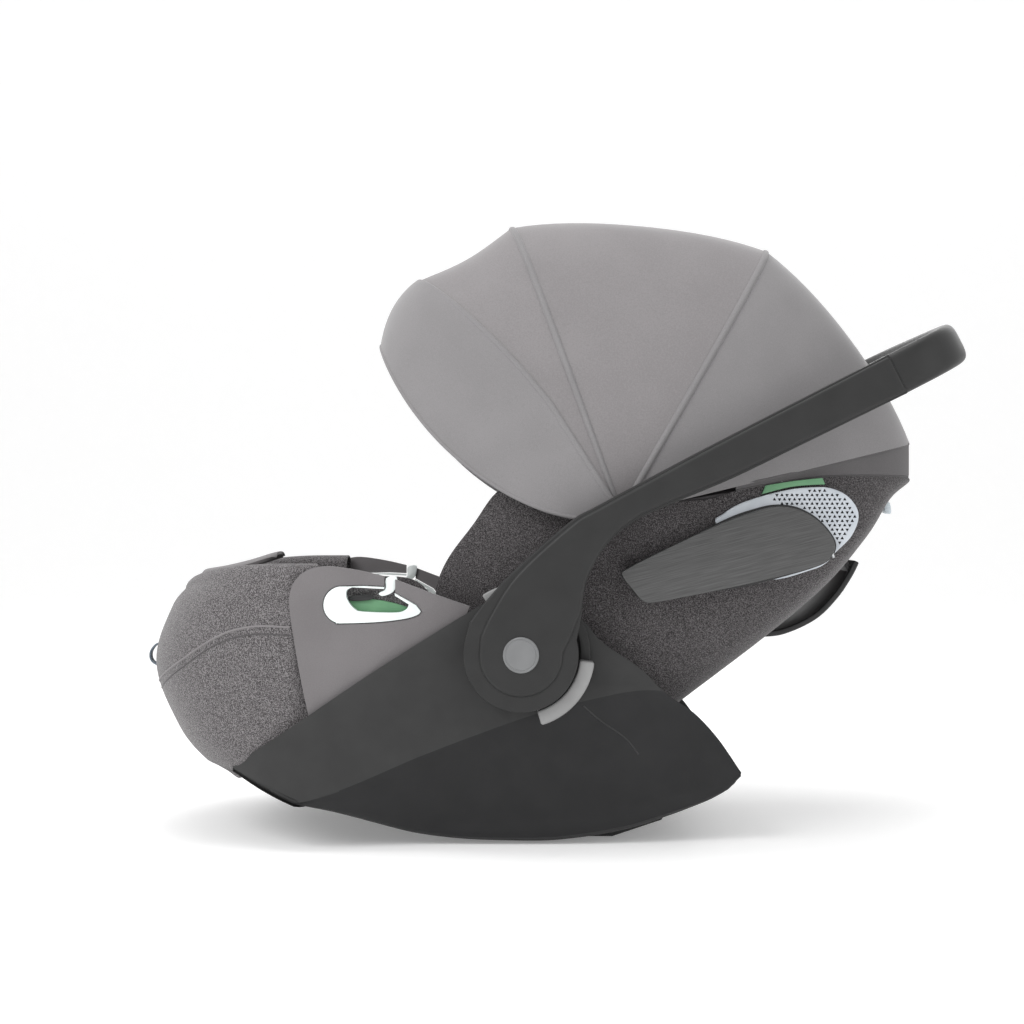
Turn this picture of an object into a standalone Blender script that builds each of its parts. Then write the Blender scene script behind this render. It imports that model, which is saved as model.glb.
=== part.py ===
"""Infant car seat: rocker base, reclining backrest, folding canopy and carrying handle.

Metres, +Z up. Feet end at -X, head end at +X, the child's left side at -Y. Shapes are drawn in a
datum frame whose X = 0 is the lowest point of the rocker; the datum empty then puts the
middle of the seat's length over the origin, on the floor.
"""
import bpy
import bmesh
from math import cos, pi, radians, sin, sqrt, tan
from mathutils import Matrix, Vector

# ---- driving dimensions ----
shell_half_width = 0.190        # outside of the hull
drawn_half_width = 0.190        # hull half width at which the foot end's widths are given
shell_wall = 0.003
gap = 0.0006                    # between fixed pieces that touch
panel_clearance = 0.0030        # hull wall to side panel
panel_thickness = 0.0055
liner_clearance = 0.0035        # side panel to inner tub
back_half_width = 0.1775        # hard backrest shell, upper part
seat_half_width = 0.157         # hard backrest shell, where it dips between the seat walls
cover_thickness = 0.0018
back_angle = radians(35)
hub = Vector((0.0077, 0, 0.1748))
hub_radius = 0.0495
spindle_radius = 0.006
running_gap = 0.0004
arm_clearance = 0.010           # hull wall to handle arm
arm_thickness = 0.022
arm_rise = radians(27)
arm_end = Vector((0.3315, 0, 0.4163))
grip_reach = 0.074              # end of the arms to the middle of the crossbar
grip_height = 0.037
cap_radius = 0.0155
pan_radius = 0.124              # inside of the seat pan, which turns about the hub
canopy_pivot = Vector((0.0944, 0, 0.295))
canopy_radius = 0.283
bow_radius = 0.0025
bow_pitch = 0.0056              # sideways step between neighbouring bows
bow_angles = {"front": radians(130.2), "middle": radians(109.7), "rear": radians(60.0)}
band_angle = radians(13.5)
fabric_thickness = 0.0014
flap_length = 0.186             # tip to rear end
flap_thickness = 0.009
flap_tilt = radians(18)
button_travel = 0.003
pad_thickness = 0.020
pad_top = 0.0275                # inner tub's outside to the top of the leg cushion
buckle_size = Vector((0.050, 0.044, 0.016))
strap_width = 0.038
strap_thickness = 0.0016

# ---- derived side-to-side places, from the outside of the hull inwards and outwards ----
hull_inside = shell_half_width - shell_wall
panel_outside = hull_inside - panel_clearance
panel_inside = panel_outside - panel_thickness
liner_outside = panel_inside - liner_clearance
arm_inside = shell_half_width + arm_clearance
arm_outside = arm_inside + arm_thickness
bow_half_width = {
    "front": arm_inside - 0.0030 - bow_radius,
    "middle": arm_inside - 0.0030 - bow_radius - bow_pitch,
    "rear": arm_inside - 0.0030 - bow_radius - 2 * bow_pitch,
}
cover_outside = back_half_width + gap + cover_thickness
along = Vector((cos(back_angle), 0, sin(back_angle)))     # up the backrest
out = Vector((-sin(back_angle), 0, cos(back_angle)))      # away from the backrest's back

parts = bpy.data.collections.new("infant_car_seat")
cutters = bpy.data.collections.new("cutters")


# ---- helpers ----
def clear_scene():
    for item in list(bpy.data.objects):
        bpy.data.objects.remove(item, do_unlink=True)
    bpy.context.scene.collection.children.link(parts)
    bpy.context.scene.collection.children.link(cutters)


def material(name, color, roughness, metallic=0.0):
    made = bpy.data.materials.get(name)
    if made is None:
        made = bpy.data.materials.new(name)
        made.use_nodes = True
        shader = made.node_tree.nodes["Principled BSDF"]
        shader.inputs["Base Color"].default_value = (*color, 1)
        shader.inputs["Roughness"].default_value = roughness
        shader.inputs["Metallic"].default_value = metallic
    return made


def dark_plastic():
    return material("dark plastic", (0.055, 0.055, 0.056), 0.55)


def black_plastic():
    return material("black plastic", (0.025, 0.025, 0.026), 0.5)


def light_plastic():
    return material("light grey plastic", (0.28, 0.28, 0.28), 0.45)


def heather():
    return material("heather fabric", (0.14, 0.135, 0.137), 0.95)


def plain_fabric():
    return material("plain grey fabric", (0.24, 0.23, 0.235), 0.9)


def canopy_fabric():
    return material("canopy fabric", (0.33, 0.32, 0.325), 0.85)


def webbing():
    return material("harness webbing", (0.03, 0.03, 0.032), 0.8)


def steel():
    return material("steel", (0.55, 0.55, 0.56), 0.35, 1.0)


def datum_empty(name, place, parent=None):
    empty = bpy.data.objects.new(name, None)
    parts.objects.link(empty)
    empty.empty_display_size = 0.03
    empty.parent = parent
    empty["place"] = list(place)
    empty.location = place - (Vector(parent["place"]) if parent else Vector((0, 0, 0)))
    return empty


def put(item, parent, look):
    """Parents a piece drawn in the datum frame to an empty and gives it its material."""
    item.parent = parent
    item.location = item.location - Vector(parent["place"])
    item.data.materials.append(look)
    return item


def new_mesh_object(name, bm, collection=parts):
    mesh = bpy.data.meshes.new(name)
    bmesh.ops.recalc_face_normals(bm, faces=bm.faces)
    bm.to_mesh(mesh)
    bm.free()
    item = bpy.data.objects.new(name, mesh)
    collection.objects.link(item)
    return item


def smooth_shading(item, angle=35):
    item.data.shade_smooth()
    item.data.set_sharp_from_angle(angle=radians(angle))
    return item


def spline(points, x):
    """Height at x on a smooth curve through points that run along x."""
    last = len(points) - 2
    k = 0
    while k < last and x > points[k + 1][0]:
        k += 1
    slopes = []
    for i in (k, k + 1):
        low = points[max(i - 1, 0)]
        high = points[min(i + 1, len(points) - 1)]
        slopes.append((high[1] - low[1]) / (high[0] - low[0]))
    (x0, z0), (x1, z1) = points[k], points[k + 1]
    span = x1 - x0
    t = min(max((x - x0) / span, 0), 1)
    rise = (2 * t**3 - 3 * t**2 + 1) * z0 + (3 * t**2 - 2 * t**3) * z1
    return rise + span * ((t**3 - 2 * t**2 + t) * slopes[0] + (t**3 - t**2) * slopes[1])


def smooth_path(points, steps):
    """Points on a smooth open curve through the given ones, steps to each stretch."""
    found = []
    count = len(points)
    for i in range(count - 1):
        p0 = Vector(points[max(i - 1, 0)])
        p1 = Vector(points[i])
        p2 = Vector(points[i + 1])
        p3 = Vector(points[min(i + 2, count - 1)])
        for s in range(steps):
            t = s / steps
            found.append(0.5 * (2 * p1 + (p2 - p0) * t + (2 * p0 - 5 * p1 + 4 * p2 - p3) * t**2
                                + (3 * p1 - p0 - 3 * p2 + p3) * t**3))
    found.append(Vector(points[-1]))
    return found


def arc(centre, radius, start, end, steps):
    """Points on an arc in a plane, angles in degrees."""
    points = []
    for i in range(steps + 1):
        a = radians(start + (end - start) * i / steps)
        points.append((centre[0] + radius * cos(a), centre[1] + radius * sin(a)))
    return points


def strip(path, thickness):
    """The outline of a strip of even thickness along a flat path."""
    left, right = [], []
    for i, point in enumerate(path):
        before = Vector(path[max(i - 1, 0)])
        after = Vector(path[min(i + 1, len(path) - 1)])
        run = (after - before).normalized()
        side = Vector((-run.y, run.x)) * thickness / 2
        left.append(Vector(point) + side)
        right.append(Vector(point) - side)
    return left + right[::-1]


def plate(name, outlines, depth, frame, collection=parts):
    """A flat outline, with any inner outlines as holes, extruded to depth about its plane."""
    curve = bpy.data.curves.new(name, "CURVE")
    curve.dimensions = "2D"
    curve.fill_mode = "BOTH"
    curve.extrude = depth / 2
    for outline in outlines:
        line = curve.splines.new("POLY")
        line.points.add(len(outline) - 1)
        for point, place in zip(line.points, outline):
            point.co = (place[0], place[1], 0, 1)
        line.use_cyclic_u = True
    shaped = bpy.data.objects.new(name + "_outline", curve)
    collection.objects.link(shaped)
    shaped.matrix_world = frame
    return welded(shaped, name, collection)


def welded(shaped, name, collection):
    """The mesh of a curve object, its caps welded, at the curve's place."""
    bpy.context.view_layer.update()
    graph = bpy.context.evaluated_depsgraph_get()
    mesh = bpy.data.meshes.new_from_object(shaped.evaluated_get(graph))
    mesh.transform(shaped.matrix_world)
    bm = bmesh.new()
    bm.from_mesh(mesh)
    bmesh.ops.remove_doubles(bm, verts=bm.verts, dist=0.00001)
    bpy.data.meshes.remove(mesh)
    bpy.data.objects.remove(shaped, do_unlink=True)
    return new_mesh_object(name, bm, collection)


def upright(y=0.0):
    """Frame whose local X, Y are the datum's X, Z, at a given side-to-side place."""
    return Matrix.Translation((0, y, 0)) @ Matrix.Rotation(pi / 2, 4, "X")


def side_plate(name, outlines, near, far, side=-1, collection=parts):
    """Plate standing between two distances from the middle plane, on one side."""
    return plate(name, outlines, far - near, upright(side * (near + far) / 2), collection)


def tube(name, path, radius, collection=parts):
    curve = bpy.data.curves.new(name, "CURVE")
    curve.dimensions = "3D"
    curve.bevel_depth = radius
    curve.bevel_resolution = 2
    curve.use_fill_caps = True
    line = curve.splines.new("POLY")
    line.points.add(len(path) - 1)
    for point, place in zip(line.points, path):
        point.co = (*place, 1)
    shaped = bpy.data.objects.new(name + "_line", curve)
    collection.objects.link(shaped)
    return welded(shaped, name, collection)


def turned(name, profile, place, axis, collection=parts, steps=32):
    """Screw of a closed profile of (radius, height) pairs, listed down its outer side."""
    bm = bmesh.new()
    dots = [bm.verts.new((radius, 0, height)) for radius, height in profile]
    for first, second in zip(dots, dots[1:]):
        bm.edges.new((first, second))
    mesh = bpy.data.meshes.new(name)
    bm.to_mesh(mesh)
    bm.free()
    item = bpy.data.objects.new(name, mesh)
    collection.objects.link(item)
    screw = item.modifiers.new("turn", "SCREW")
    screw.steps = steps
    screw.render_steps = steps
    screw.use_merge_vertices = True
    screw.merge_threshold = 0.00001
    graph = bpy.context.evaluated_depsgraph_get()
    shape = bpy.data.meshes.new_from_object(item.evaluated_get(graph))
    aim = Vector(axis).to_track_quat("Z", "Y").to_matrix().to_4x4()
    shape.transform(Matrix.Translation(place) @ aim)
    bpy.data.objects.remove(item, do_unlink=True)
    bm = bmesh.new()
    bm.from_mesh(shape)
    bmesh.ops.remove_doubles(bm, verts=bm.verts, dist=0.00001)
    return new_mesh_object(name, bm, collection)


def rod(name, radius, start, end, collection=parts, steps=24):
    """A plain round bar between two points."""
    start, end = Vector(start), Vector(end)
    bm = bmesh.new()
    bmesh.ops.create_cone(bm, cap_ends=True, segments=steps, radius1=radius, radius2=radius,
                          depth=(end - start).length)
    aim = (end - start).to_track_quat("Z", "Y").to_matrix().to_4x4()
    bmesh.ops.transform(bm, matrix=Matrix.Translation((start + end) / 2) @ aim, verts=bm.verts)
    return new_mesh_object(name, bm, collection)


def box(name, low, high, bevel=0.0, collection=parts):
    low, high = Vector(low), Vector(high)
    bm = bmesh.new()
    bmesh.ops.create_cube(bm, size=1)
    bmesh.ops.scale(bm, vec=high - low, verts=bm.verts)
    bmesh.ops.translate(bm, vec=(low + high) / 2, verts=bm.verts)
    item = new_mesh_object(name, bm, collection)
    if bevel:
        rounded(item, bevel)
    return item


def rounded(item, width, segments=2):
    bevel = item.modifiers.new("round", "BEVEL")
    bevel.width = width
    bevel.segments = segments
    bevel.limit_method = "ANGLE"
    bevel.angle_limit = radians(50)
    return item


def boolean(item, cutter, operation="DIFFERENCE"):
    cut = item.modifiers.new("cut " + cutter.name, "BOOLEAN")
    cut.operation = operation
    cut.object = cutter
    cutter.hide_render = True
    cutter.display_type = "WIRE"
    return item


def half_shell(name, rows, thickness, offset=-1.0, lift=0.0):
    """Open half surface, rows from rim to middle plane, mirrored, lifted off and thickened."""
    bm = bmesh.new()
    grid = [[bm.verts.new(point) for point in row] for row in rows]
    for upper, lower in zip(grid, grid[1:]):
        for k in range(len(upper) - 1):
            bm.faces.new((upper[k], upper[k + 1], lower[k + 1], lower[k]))
    mesh = bpy.data.meshes.new(name)
    bm.to_mesh(mesh)
    bm.free()
    item = bpy.data.objects.new(name, mesh)
    parts.objects.link(item)
    mirror = item.modifiers.new("other side", "MIRROR")
    mirror.use_axis = (False, True, False)
    mirror.use_clip = True
    mirror.merge_threshold = 0.0001
    if lift:
        clear = item.modifiers.new("clear of the shell", "DISPLACE")
        clear.strength = lift
        clear.mid_level = 0.0
    wall = item.modifiers.new("wall", "SOLIDIFY")
    wall.thickness = thickness
    wall.offset = offset
    wall.use_even_offset = True
    return item


def back_point(u, n, y=0.0):
    """Point u up the backrest and n out from it, both from the hub."""
    place = hub + u * along + n * out
    return Vector((place.x, y, place.z))


def back_pairs(pairs):
    """Datum X, Z of (u, n) pairs on the backrest's middle plane."""
    return [(back_point(u, n).x, back_point(u, n).z) for u, n in pairs]


# ---- hull ----
hull_bottom = [(-0.2495, 0.0680), (-0.1826, 0.0392), (-0.101, 0.0125), (-0.056, 0.0046), (0, 0.0022),
               (0.0434, 0.0030), (0.0976, 0.0090), (0.161, 0.0268), (0.179, 0.0400), (0.2039, 0.0596)]
hull_top = [(-0.2495, 0.0715), (-0.1896, 0.1115), (-0.1344, 0.149), (-0.0808, 0.1833),
            (-0.0193, 0.2202), (0.0077, 0.230), (0.035, 0.221), (0.0624, 0.2026), (0.0773, 0.185),
            (0.1125, 0.1604), (0.137, 0.1393), (0.1652, 0.1191), (0.1872, 0.0928), (0.2039, 0.0640)]
hull_crease = [(-0.2495, 0.030), (-0.1639, 0.0495), (-0.0719, 0.0872), (0.0245, 0.1222),
               (0.0771, 0.1354), (0.1122, 0.1415), (0.1367, 0.1397), (0.2039, 0.120)]
hull_width = [(-0.2495, 0.152), (-0.2195, 0.177), (-0.1896, 0.1885), (-0.160, 0.190), (-0.08, 0.190),
              (0.10, 0.190), (0.137, 0.187), (0.1752, 0.176), (0.2039, 0.156)]
hull_stations = (-0.2495, -0.2195, -0.1896, -0.160, -0.1344, -0.1076, -0.0808, -0.050, -0.0193,
                 0.0077, 0.035, 0.0624, 0.0773, 0.095, 0.1125, 0.137, 0.1652, 0.1872, 0.2039)


def hull_row(x):
    top = spline(hull_top, x)
    low = spline(hull_bottom, x)
    crease = min(max(spline(hull_crease, x), low + 0.001), top - 0.0006)
    wide = spline(hull_width, x) + shell_half_width - 0.190
    tuck = min((crease - low) / 0.09, 1)
    foot = min(0.128, wide - 0.02)
    return [
        (x, -wide, top),
        (x, -wide, (top + crease) / 2),
        (x, -wide, crease),
        (x, -wide + 0.014 * tuck, crease - 0.35 * (crease - low)),
        (x, -wide + 0.034 * tuck, crease - 0.78 * (crease - low)),
        (x, -(foot + wide) / 2 + 0.012 * tuck, low + 0.0015),
        (x, -foot * 0.75, low),
        (x, -foot * 0.4, low),
        (x, 0, low),
    ]


def base_shell(root):
    item = half_shell("base_shell", [hull_row(x) for x in hull_stations], shell_wall)
    bore = rod("spindle_bore", spindle_radius + running_gap, (hub.x, -0.25, hub.z),
               (hub.x, 0.25, hub.z), cutters)
    boolean(item, bore)
    smooth_shading(item)
    put(item, root, dark_plastic())


def rocker_rails(root):
    """Rails under the hull; their flat middle stretch is what the seat rests on."""
    inner, outer = 0.088, 0.104
    for side, name in ((-1, "left_rocker_rail"), (1, "right_rocker_rail")):
        xs = [-0.150, -0.115, -0.085, -0.060, -0.03, 0.0, 0.03, 0.06, 0.090, 0.115, 0.140]
        upper = [(x, spline(hull_bottom, x) - gap) for x in xs]
        lower = [(-0.148, 0.0240), (-0.100, 0.0095), (-0.066, 0.0), (0.092, 0.0), (0.137, 0.0150)]
        rail = side_plate(name, [lower + upper[::-1]], inner, outer, side)
        put(rail, root, black_plastic())


def lock_bars(root):
    """Steel bars that a vehicle base or a stroller adapter takes hold of."""
    for name, x, z in (("front_lock_bar", -0.125, 0.034), ("rear_lock_bar", 0.150, 0.0385)):
        bar = rod(name, 0.005, (x, -0.075, z), (x, 0.075, z), steps=16)
        smooth_shading(bar)
        put(bar, root, steel())


def spindles(root):
    """Flanged spindles: the handle turns on them outside the hull and the backrest inside."""
    flange = 0.040
    for side, name in ((-1, "left_hub_spindle"), (1, "right_hub_spindle")):
        r = spindle_radius
        near = shell_half_width + gap
        far = arm_inside - gap
        profile = [(0, arm_outside - 0.002), (r, arm_outside - 0.002), (r, far), (flange, far),
                   (flange, near), (r, near), (r, 0.166), (0, 0.166)]
        item = turned(name, profile, (hub.x, 0, hub.z), (0, side, 0))
        smooth_shading(item)
        put(item, root, steel())


# ---- lap panels and belt guides ----
def window_path():
    """Edge of the belt opening, from the slot's left jaw round to its right one."""
    path = [(-0.1121, 0.2325), (-0.130, 0.2334), (-0.1440, 0.2330)]
    path += arc((-0.1490, 0.2160), 0.0172, 100, 262, 7)
    path += [(-0.120, 0.2000), (-0.0950, 0.2028), (-0.0825, 0.2065), (-0.0790, 0.2105),
             (-0.0835, 0.2165), (-0.1025, 0.2270)]
    return path


def guide_window():
    """Edge of the smaller window inside a belt guide, the same way round."""
    return [(-0.1121, 0.2300), (-0.1400, 0.2315), (-0.1450, 0.2285), (-0.1445, 0.2210),
            (-0.1380, 0.2125), (-0.1300, 0.2100), (-0.1020, 0.2092), (-0.0930, 0.2120),
            (-0.0905, 0.2165), (-0.1025, 0.2240)]


def side_panels(root):
    jaw_left, jaw_right = -0.1121, -0.1025
    top = [(-0.1935, 0.2400), (-0.187, 0.246), (-0.178, 0.249), (-0.1605, 0.2499), (-0.135, 0.2464),
           (jaw_left, 0.2412)]
    rear = [(jaw_right, 0.2384), (-0.0723, 0.227), (-0.037, 0.2146)]
    tuck = 0.012
    lower = [(x, spline(hull_top, x) - tuck) for x in (-0.046, -0.0808, -0.1076, -0.1344, -0.160)]
    outline = top + window_path() + rear + lower + [(-0.1820, 0.1020), (-0.1905, 0.1110)]
    for side, name in ((-1, "left_side_panel"), (1, "right_side_panel")):
        panel = side_plate(name, [outline], panel_inside, panel_outside, side)
        put(panel, root, plain_fabric())


def inset(path, distance):
    """A path moved sideways, to the left of its direction."""
    moved = []
    for i, point in enumerate(path):
        before = Vector(path[max(i - 1, 0)])
        after = Vector(path[min(i + 1, len(path) - 1)])
        run = (after - before).normalized()
        moved.append(Vector(point) + Vector((-run.y, run.x)) * distance)
    return moved


def belt_guides(root):
    """White liners of the belt openings, open at the slot."""
    outer = inset(window_path(), 0.0009)
    inner = guide_window()
    for side, name in ((-1, "left_belt_guide"), (1, "right_belt_guide")):
        ring = side_plate(name, [outer + inner[::-1]], panel_inside - 0.003, panel_outside + 0.001,
                          side)
        put(ring, root, material("white plastic", (0.75, 0.80, 0.79), 0.4))


# ---- foot end ----
nose = [(0.066, -0.2720), (0.0713, -0.2884), (0.1004, -0.3126), (0.1587, -0.3340),
        (0.2121, -0.3175), (0.2295, -0.3020), (0.2420, -0.2850)]
foot_width = [(0.066, 0.166), (0.10, 0.176), (0.16, 0.183), (0.21, 0.181), (0.25, 0.176)]
foot_joint = -0.1945


def foot_row(level):
    """One level of the foot end's outside, level 0 at the hull's edge and 1 at the rim."""
    row = []
    around = 12
    for k in range(around + 1):
        a = k / around
        low = 0.1125 + (0.0680 - 0.1125) * sin(a * pi / 2) ** 0.9
        rim = 0.2500 - 0.0120 * a**2
        z = low + (rim - low) * level
        start = foot_joint
        tip = spline(nose, z)
        wide = spline(foot_width, z) * shell_half_width / drawn_half_width
        x = start + (tip - start) * sin(a * pi / 2) ** 0.85
        y = wide * cos(a * pi / 2) ** 0.62 if k < around else 0
        row.append((x, -y, z))
    return row


def foot_cover(root):
    levels = (0, 0.12, 0.27, 0.45, 0.62, 0.78, 0.90, 1.0)
    item = half_shell("foot_cover", [foot_row(v) for v in levels], 0.004, 1.0)
    smooth_shading(item, 60)
    put(item, root, heather())


def foot_trim(root):
    """Tongue standing on the middle of the foot end's rim, and the ribbon loop on its nose."""
    tongue = [(-0.2910, 0.2416), (-0.2740, 0.2447), (-0.2500, 0.2505), (-0.2260, 0.2580)]
    flap = plate("foot_flap", [strip(tongue, 0.003)], 0.11, upright())
    put(flap, root, plain_fabric())
    path = [(-0.3372, 0.1500), (-0.3440, 0.1500), (-0.3495, 0.1545), (-0.3500, 0.1620),
            (-0.3450, 0.1690), (-0.3375, 0.1720)]
    loop = plate("foot_pull_loop", [strip(path, 0.0016)], 0.012, upright())
    put(loop, root, material("ribbon", (0.15, 0.19, 0.23), 0.7))


# ---- inner tub and leg cushion ----
liner_floor = [(-0.316, 0.168), (-0.300, 0.128), (-0.27, 0.099), (-0.22, 0.079), (-0.16, 0.0625),
               (-0.09, 0.0525), (-0.055, 0.0506)]
liner_top = [(-0.316, 0.196), (-0.29, 0.214), (-0.24, 0.210), (-0.19, 0.188), (-0.1, 0.176),
             (-0.055, 0.168)]
liner_width = [(-0.316, 0.073), (-0.300, 0.115), (-0.27, 0.143), (-0.22, 0.165), (-0.19, 0.172),
               (-0.1, 0.175), (-0.055, 0.175)]
liner_stations = (-0.316, -0.300, -0.27, -0.22, -0.19, -0.16, -0.12, -0.09, -0.055)


def liner_row(x):
    floor = spline(liner_floor, x)
    top = spline(liner_top, x)
    scale = shell_half_width / drawn_half_width
    room = min(liner_outside - liner_width[-1][1] * scale, 0)
    wide = spline(liner_width, x) * scale + room
    rise = top - floor
    return [
        (x, -wide, top),
        (x, -wide, floor + 0.60 * rise),
        (x, -wide + 0.006, floor + 0.30 * rise),
        (x, -wide * 0.90, floor + 0.09 * rise),
        (x, -wide * 0.74, floor),
        (x, -wide * 0.4, floor),
        (x, 0, floor),
    ]


def seat_liner(root):
    item = half_shell("seat_liner", [liner_row(x) for x in liner_stations], 0.0035)
    smooth_shading(item)
    put(item, root, black_plastic())


def leg_pad(root):
    xs = (-0.297, -0.285, -0.27, -0.245, -0.22, -0.19, -0.16, -0.125, -0.085)
    floor = [(x, spline(liner_floor, x)) for x in xs]
    path = inset(floor, pad_top - pad_thickness / 2)
    item = plate("leg_pad", [strip(path, pad_thickness)], 0.150, upright())
    put(item, root, heather())


def harness_adjuster(root):
    """Push button of the harness adjuster, in the front of the leg cushion."""
    x, half, height = -0.175, 0.014, 0.008
    low = spline(liner_floor, x - half) + pad_top + button_travel + 2 * gap
    button = box("adjuster_button", (x - half, -0.011, low), (x + half, 0.011, low + height), 0.002)
    put(button, root, light_plastic())


# ---- backrest ----
rim_places = [(-0.0503, 0.0690), (-0.0611, 0.151), (-0.068, 0.2285), (-0.0300, 0.293),
              (-0.0100, 0.318), (0.012, 0.3230), (0.06, 0.3165), (0.12, 0.3085), (0.1692, 0.3083),
              (0.1983, 0.3165), (0.2225, 0.3215), (0.2725, 0.3285), (0.3112, 0.3300),
              (0.3620, 0.3300)]
rim_line = [((x - hub.x) * along.x + (z - hub.z) * along.z, (x - hub.x) * out.x + (z - hub.z) * out.z)
            for x, z in rim_places]
back_line = [(0.0, -pan_radius), (0.10, -0.1208), (0.20, -0.1165), (0.2656, -0.1090),
             (0.3208, -0.0930), (0.3534, -0.0805), (0.379, -0.0800)]
back_width = [(-0.110, 0.0), (0.0, 0.0), (0.0644, 0.62), (0.12, 0.97), (0.25, 1.0), (0.30, 0.97),
              (0.345, 0.78), (0.379, 0.30)]
back_stations = (-0.110, -0.09, -0.065, -0.0312, 0.0, 0.03, 0.0644, 0.105, 0.149, 0.19, 0.232,
                 0.273, 0.305, 0.335, 0.36, 0.379)


def back_depth(u):
    return -sqrt(pan_radius**2 - u**2) if u < 0 else spline(back_line, u)


def back_row(u, grow=0.0):
    """Half section of the backrest across its length, grown outwards by grow."""
    rim = spline(rim_line, u)
    depth = back_depth(u) - grow
    share = spline(back_width, u)
    wide = seat_half_width + (back_half_width - seat_half_width) * max(share, 0) + grow
    if u > 0.25:
        wide = back_half_width * (0.42 + 0.58 * sqrt(max(1 - ((u - 0.25) / 0.137) ** 2, 0))) + grow
    rise = rim - depth
    low = min(wide, 0.166 + grow)
    section = [(wide, 1.0), (wide, 0.72), ((wide + low) / 2 - 0.002, 0.42), (low - 0.008, 0.18),
               (low * 0.87, 0.055), (low * 0.72, 0.0), (low * 0.36, 0.0), (0, 0.0)]
    return [back_point(u, depth + rise * f, -y) for y, f in section]


def backrest_shell(backrest):
    rows = [back_row(u) for u in back_stations]
    item = half_shell("backrest_shell", rows, shell_wall)
    bore = rod("trunnion_bore", 0.012, (hub.x, -0.25, hub.z), (hub.x, 0.25, hub.z), cutters)
    boolean(item, bore)
    smooth_shading(item)
    put(item, backrest, dark_plastic())
    return bore


def backrest_cover(backrest, bore):
    rows = [back_row(u) for u in back_stations[3:]]
    item = half_shell("backrest_cover", rows, cover_thickness, 1.0, gap)
    boolean(item, bore)
    smooth_shading(item)
    put(item, backrest, heather())


def trunnions(backrest):
    """Bearing plates that carry the backrest on the spindles."""
    near = seat_half_width + gap + cover_thickness + 0.0045
    for side, name in ((-1, "left_trunnion"), (1, "right_trunnion")):
        ring = [arc((hub.x, hub.z), 0.021, 0, 348.75, 31),
                arc((hub.x, hub.z), spindle_radius + running_gap, 0, 345, 23)]
        item = side_plate(name, ring, near, near + 0.011, side)
        put(item, backrest, steel())


def back_pad(backrest):
    """Cushion along the pan and the back, inside the hard shell."""
    thickness, skin = 0.018, 0.0035
    radius = pan_radius - shell_wall - skin - thickness / 2
    path = [(radius * cos(a), radius * sin(a)) for a in [radians(-145 + 11 * k) for k in range(6)]]
    lift = shell_wall + skin + thickness / 2
    path += [(u, back_depth(u) + lift) for u in (0.0, 0.06, 0.12, 0.18, 0.25)]
    item = plate("back_pad", [strip(back_pairs(path), thickness)], 0.205, upright())
    put(item, backrest, heather())


def canopy_band(backrest):
    """Plain band on the backrest's rim that the canopy grows out of."""
    rows = []
    for u in (0.236, 0.255, 0.273, 0.29, 0.305, 0.32, 0.335, 0.35, 0.36, 0.370, 0.379):
        rim = back_row(u, gap + cover_thickness)[0]
        rise = canopy_pivot.z + (rim.x - canopy_pivot.x) * tan(band_angle) - rim.z
        low = rim + Vector((0, 0, 0.0024))
        high = rim + Vector((0, 0, max(rise, 0.0044)))
        rows.append([high, low])
    last = rows[-1]
    middle = [Vector((point.x + 0.004, 0, point.z)) for point in last]
    rows.append([Vector((point.x + 0.003, point.y * 0.5, point.z)) for point in last])
    rows.append(middle)
    bm = bmesh.new()
    grid = [[bm.verts.new(point) for point in row] for row in rows]
    for first, second in zip(grid, grid[1:]):
        bm.faces.new((first[0], first[1], second[1], second[0]))
    mesh = bpy.data.meshes.new("canopy_band")
    bm.to_mesh(mesh)
    bm.free()
    item = bpy.data.objects.new("canopy_band", mesh)
    parts.objects.link(item)
    mirror = item.modifiers.new("other side", "MIRROR")
    mirror.use_axis = (False, True, False)
    mirror.merge_threshold = 0.0001
    wall = item.modifiers.new("wall", "SOLIDIFY")
    wall.thickness = 0.002
    wall.offset = -1.0
    put(item, backrest, plain_fabric())


# ---- side flaps ----
flap_hinge_place = Vector((0.2768, 0.2690))
flap_corners = [(0.0960, 0.2420), (0.1010, 0.2485), (0.1400, 0.2680), (0.1789, 0.2862), (0.2100, 0.2975),
                (0.2280, 0.3020), (0.2467, 0.3006), (0.2640, 0.2920), (0.2773, 0.2782),
                (0.2815, 0.2670), (0.2765, 0.2568), (0.2628, 0.2495), (0.2257, 0.2396),
                (0.1750, 0.2283), (0.1257, 0.2188), (0.1140, 0.2200), (0.1063, 0.2282)]
grille_corners = [(0.1789, 0.2868), (0.1854, 0.2960), (0.1983, 0.3041), (0.2192, 0.3114),
                  (0.2435, 0.3172), (0.2628, 0.3192), (0.2789, 0.3186), (0.2935, 0.3121),
                  (0.3025, 0.3009), (0.3035, 0.2896), (0.2967, 0.2750), (0.2838, 0.2621),
                  (0.2757, 0.2530), (0.2628, 0.2468), (0.2257, 0.2385), (0.2100, 0.2600)]


def from_flap_hinge(corners):
    """Corners moved away from the hinge as the flap's length changes."""
    scale = flap_length / 0.186
    return [flap_hinge_place + (Vector(corner) - flap_hinge_place) * scale for corner in corners]


def flap_hinge():
    """Middle of the flap's hinge, and the hinge's direction on the left side."""
    y = -(cover_outside + 0.0065 + flap_thickness - 0.0028)
    place = Vector((flap_hinge_place.x, y, flap_hinge_place.y))
    return place, Vector((-sin(flap_tilt), 0, cos(flap_tilt)))


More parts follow.
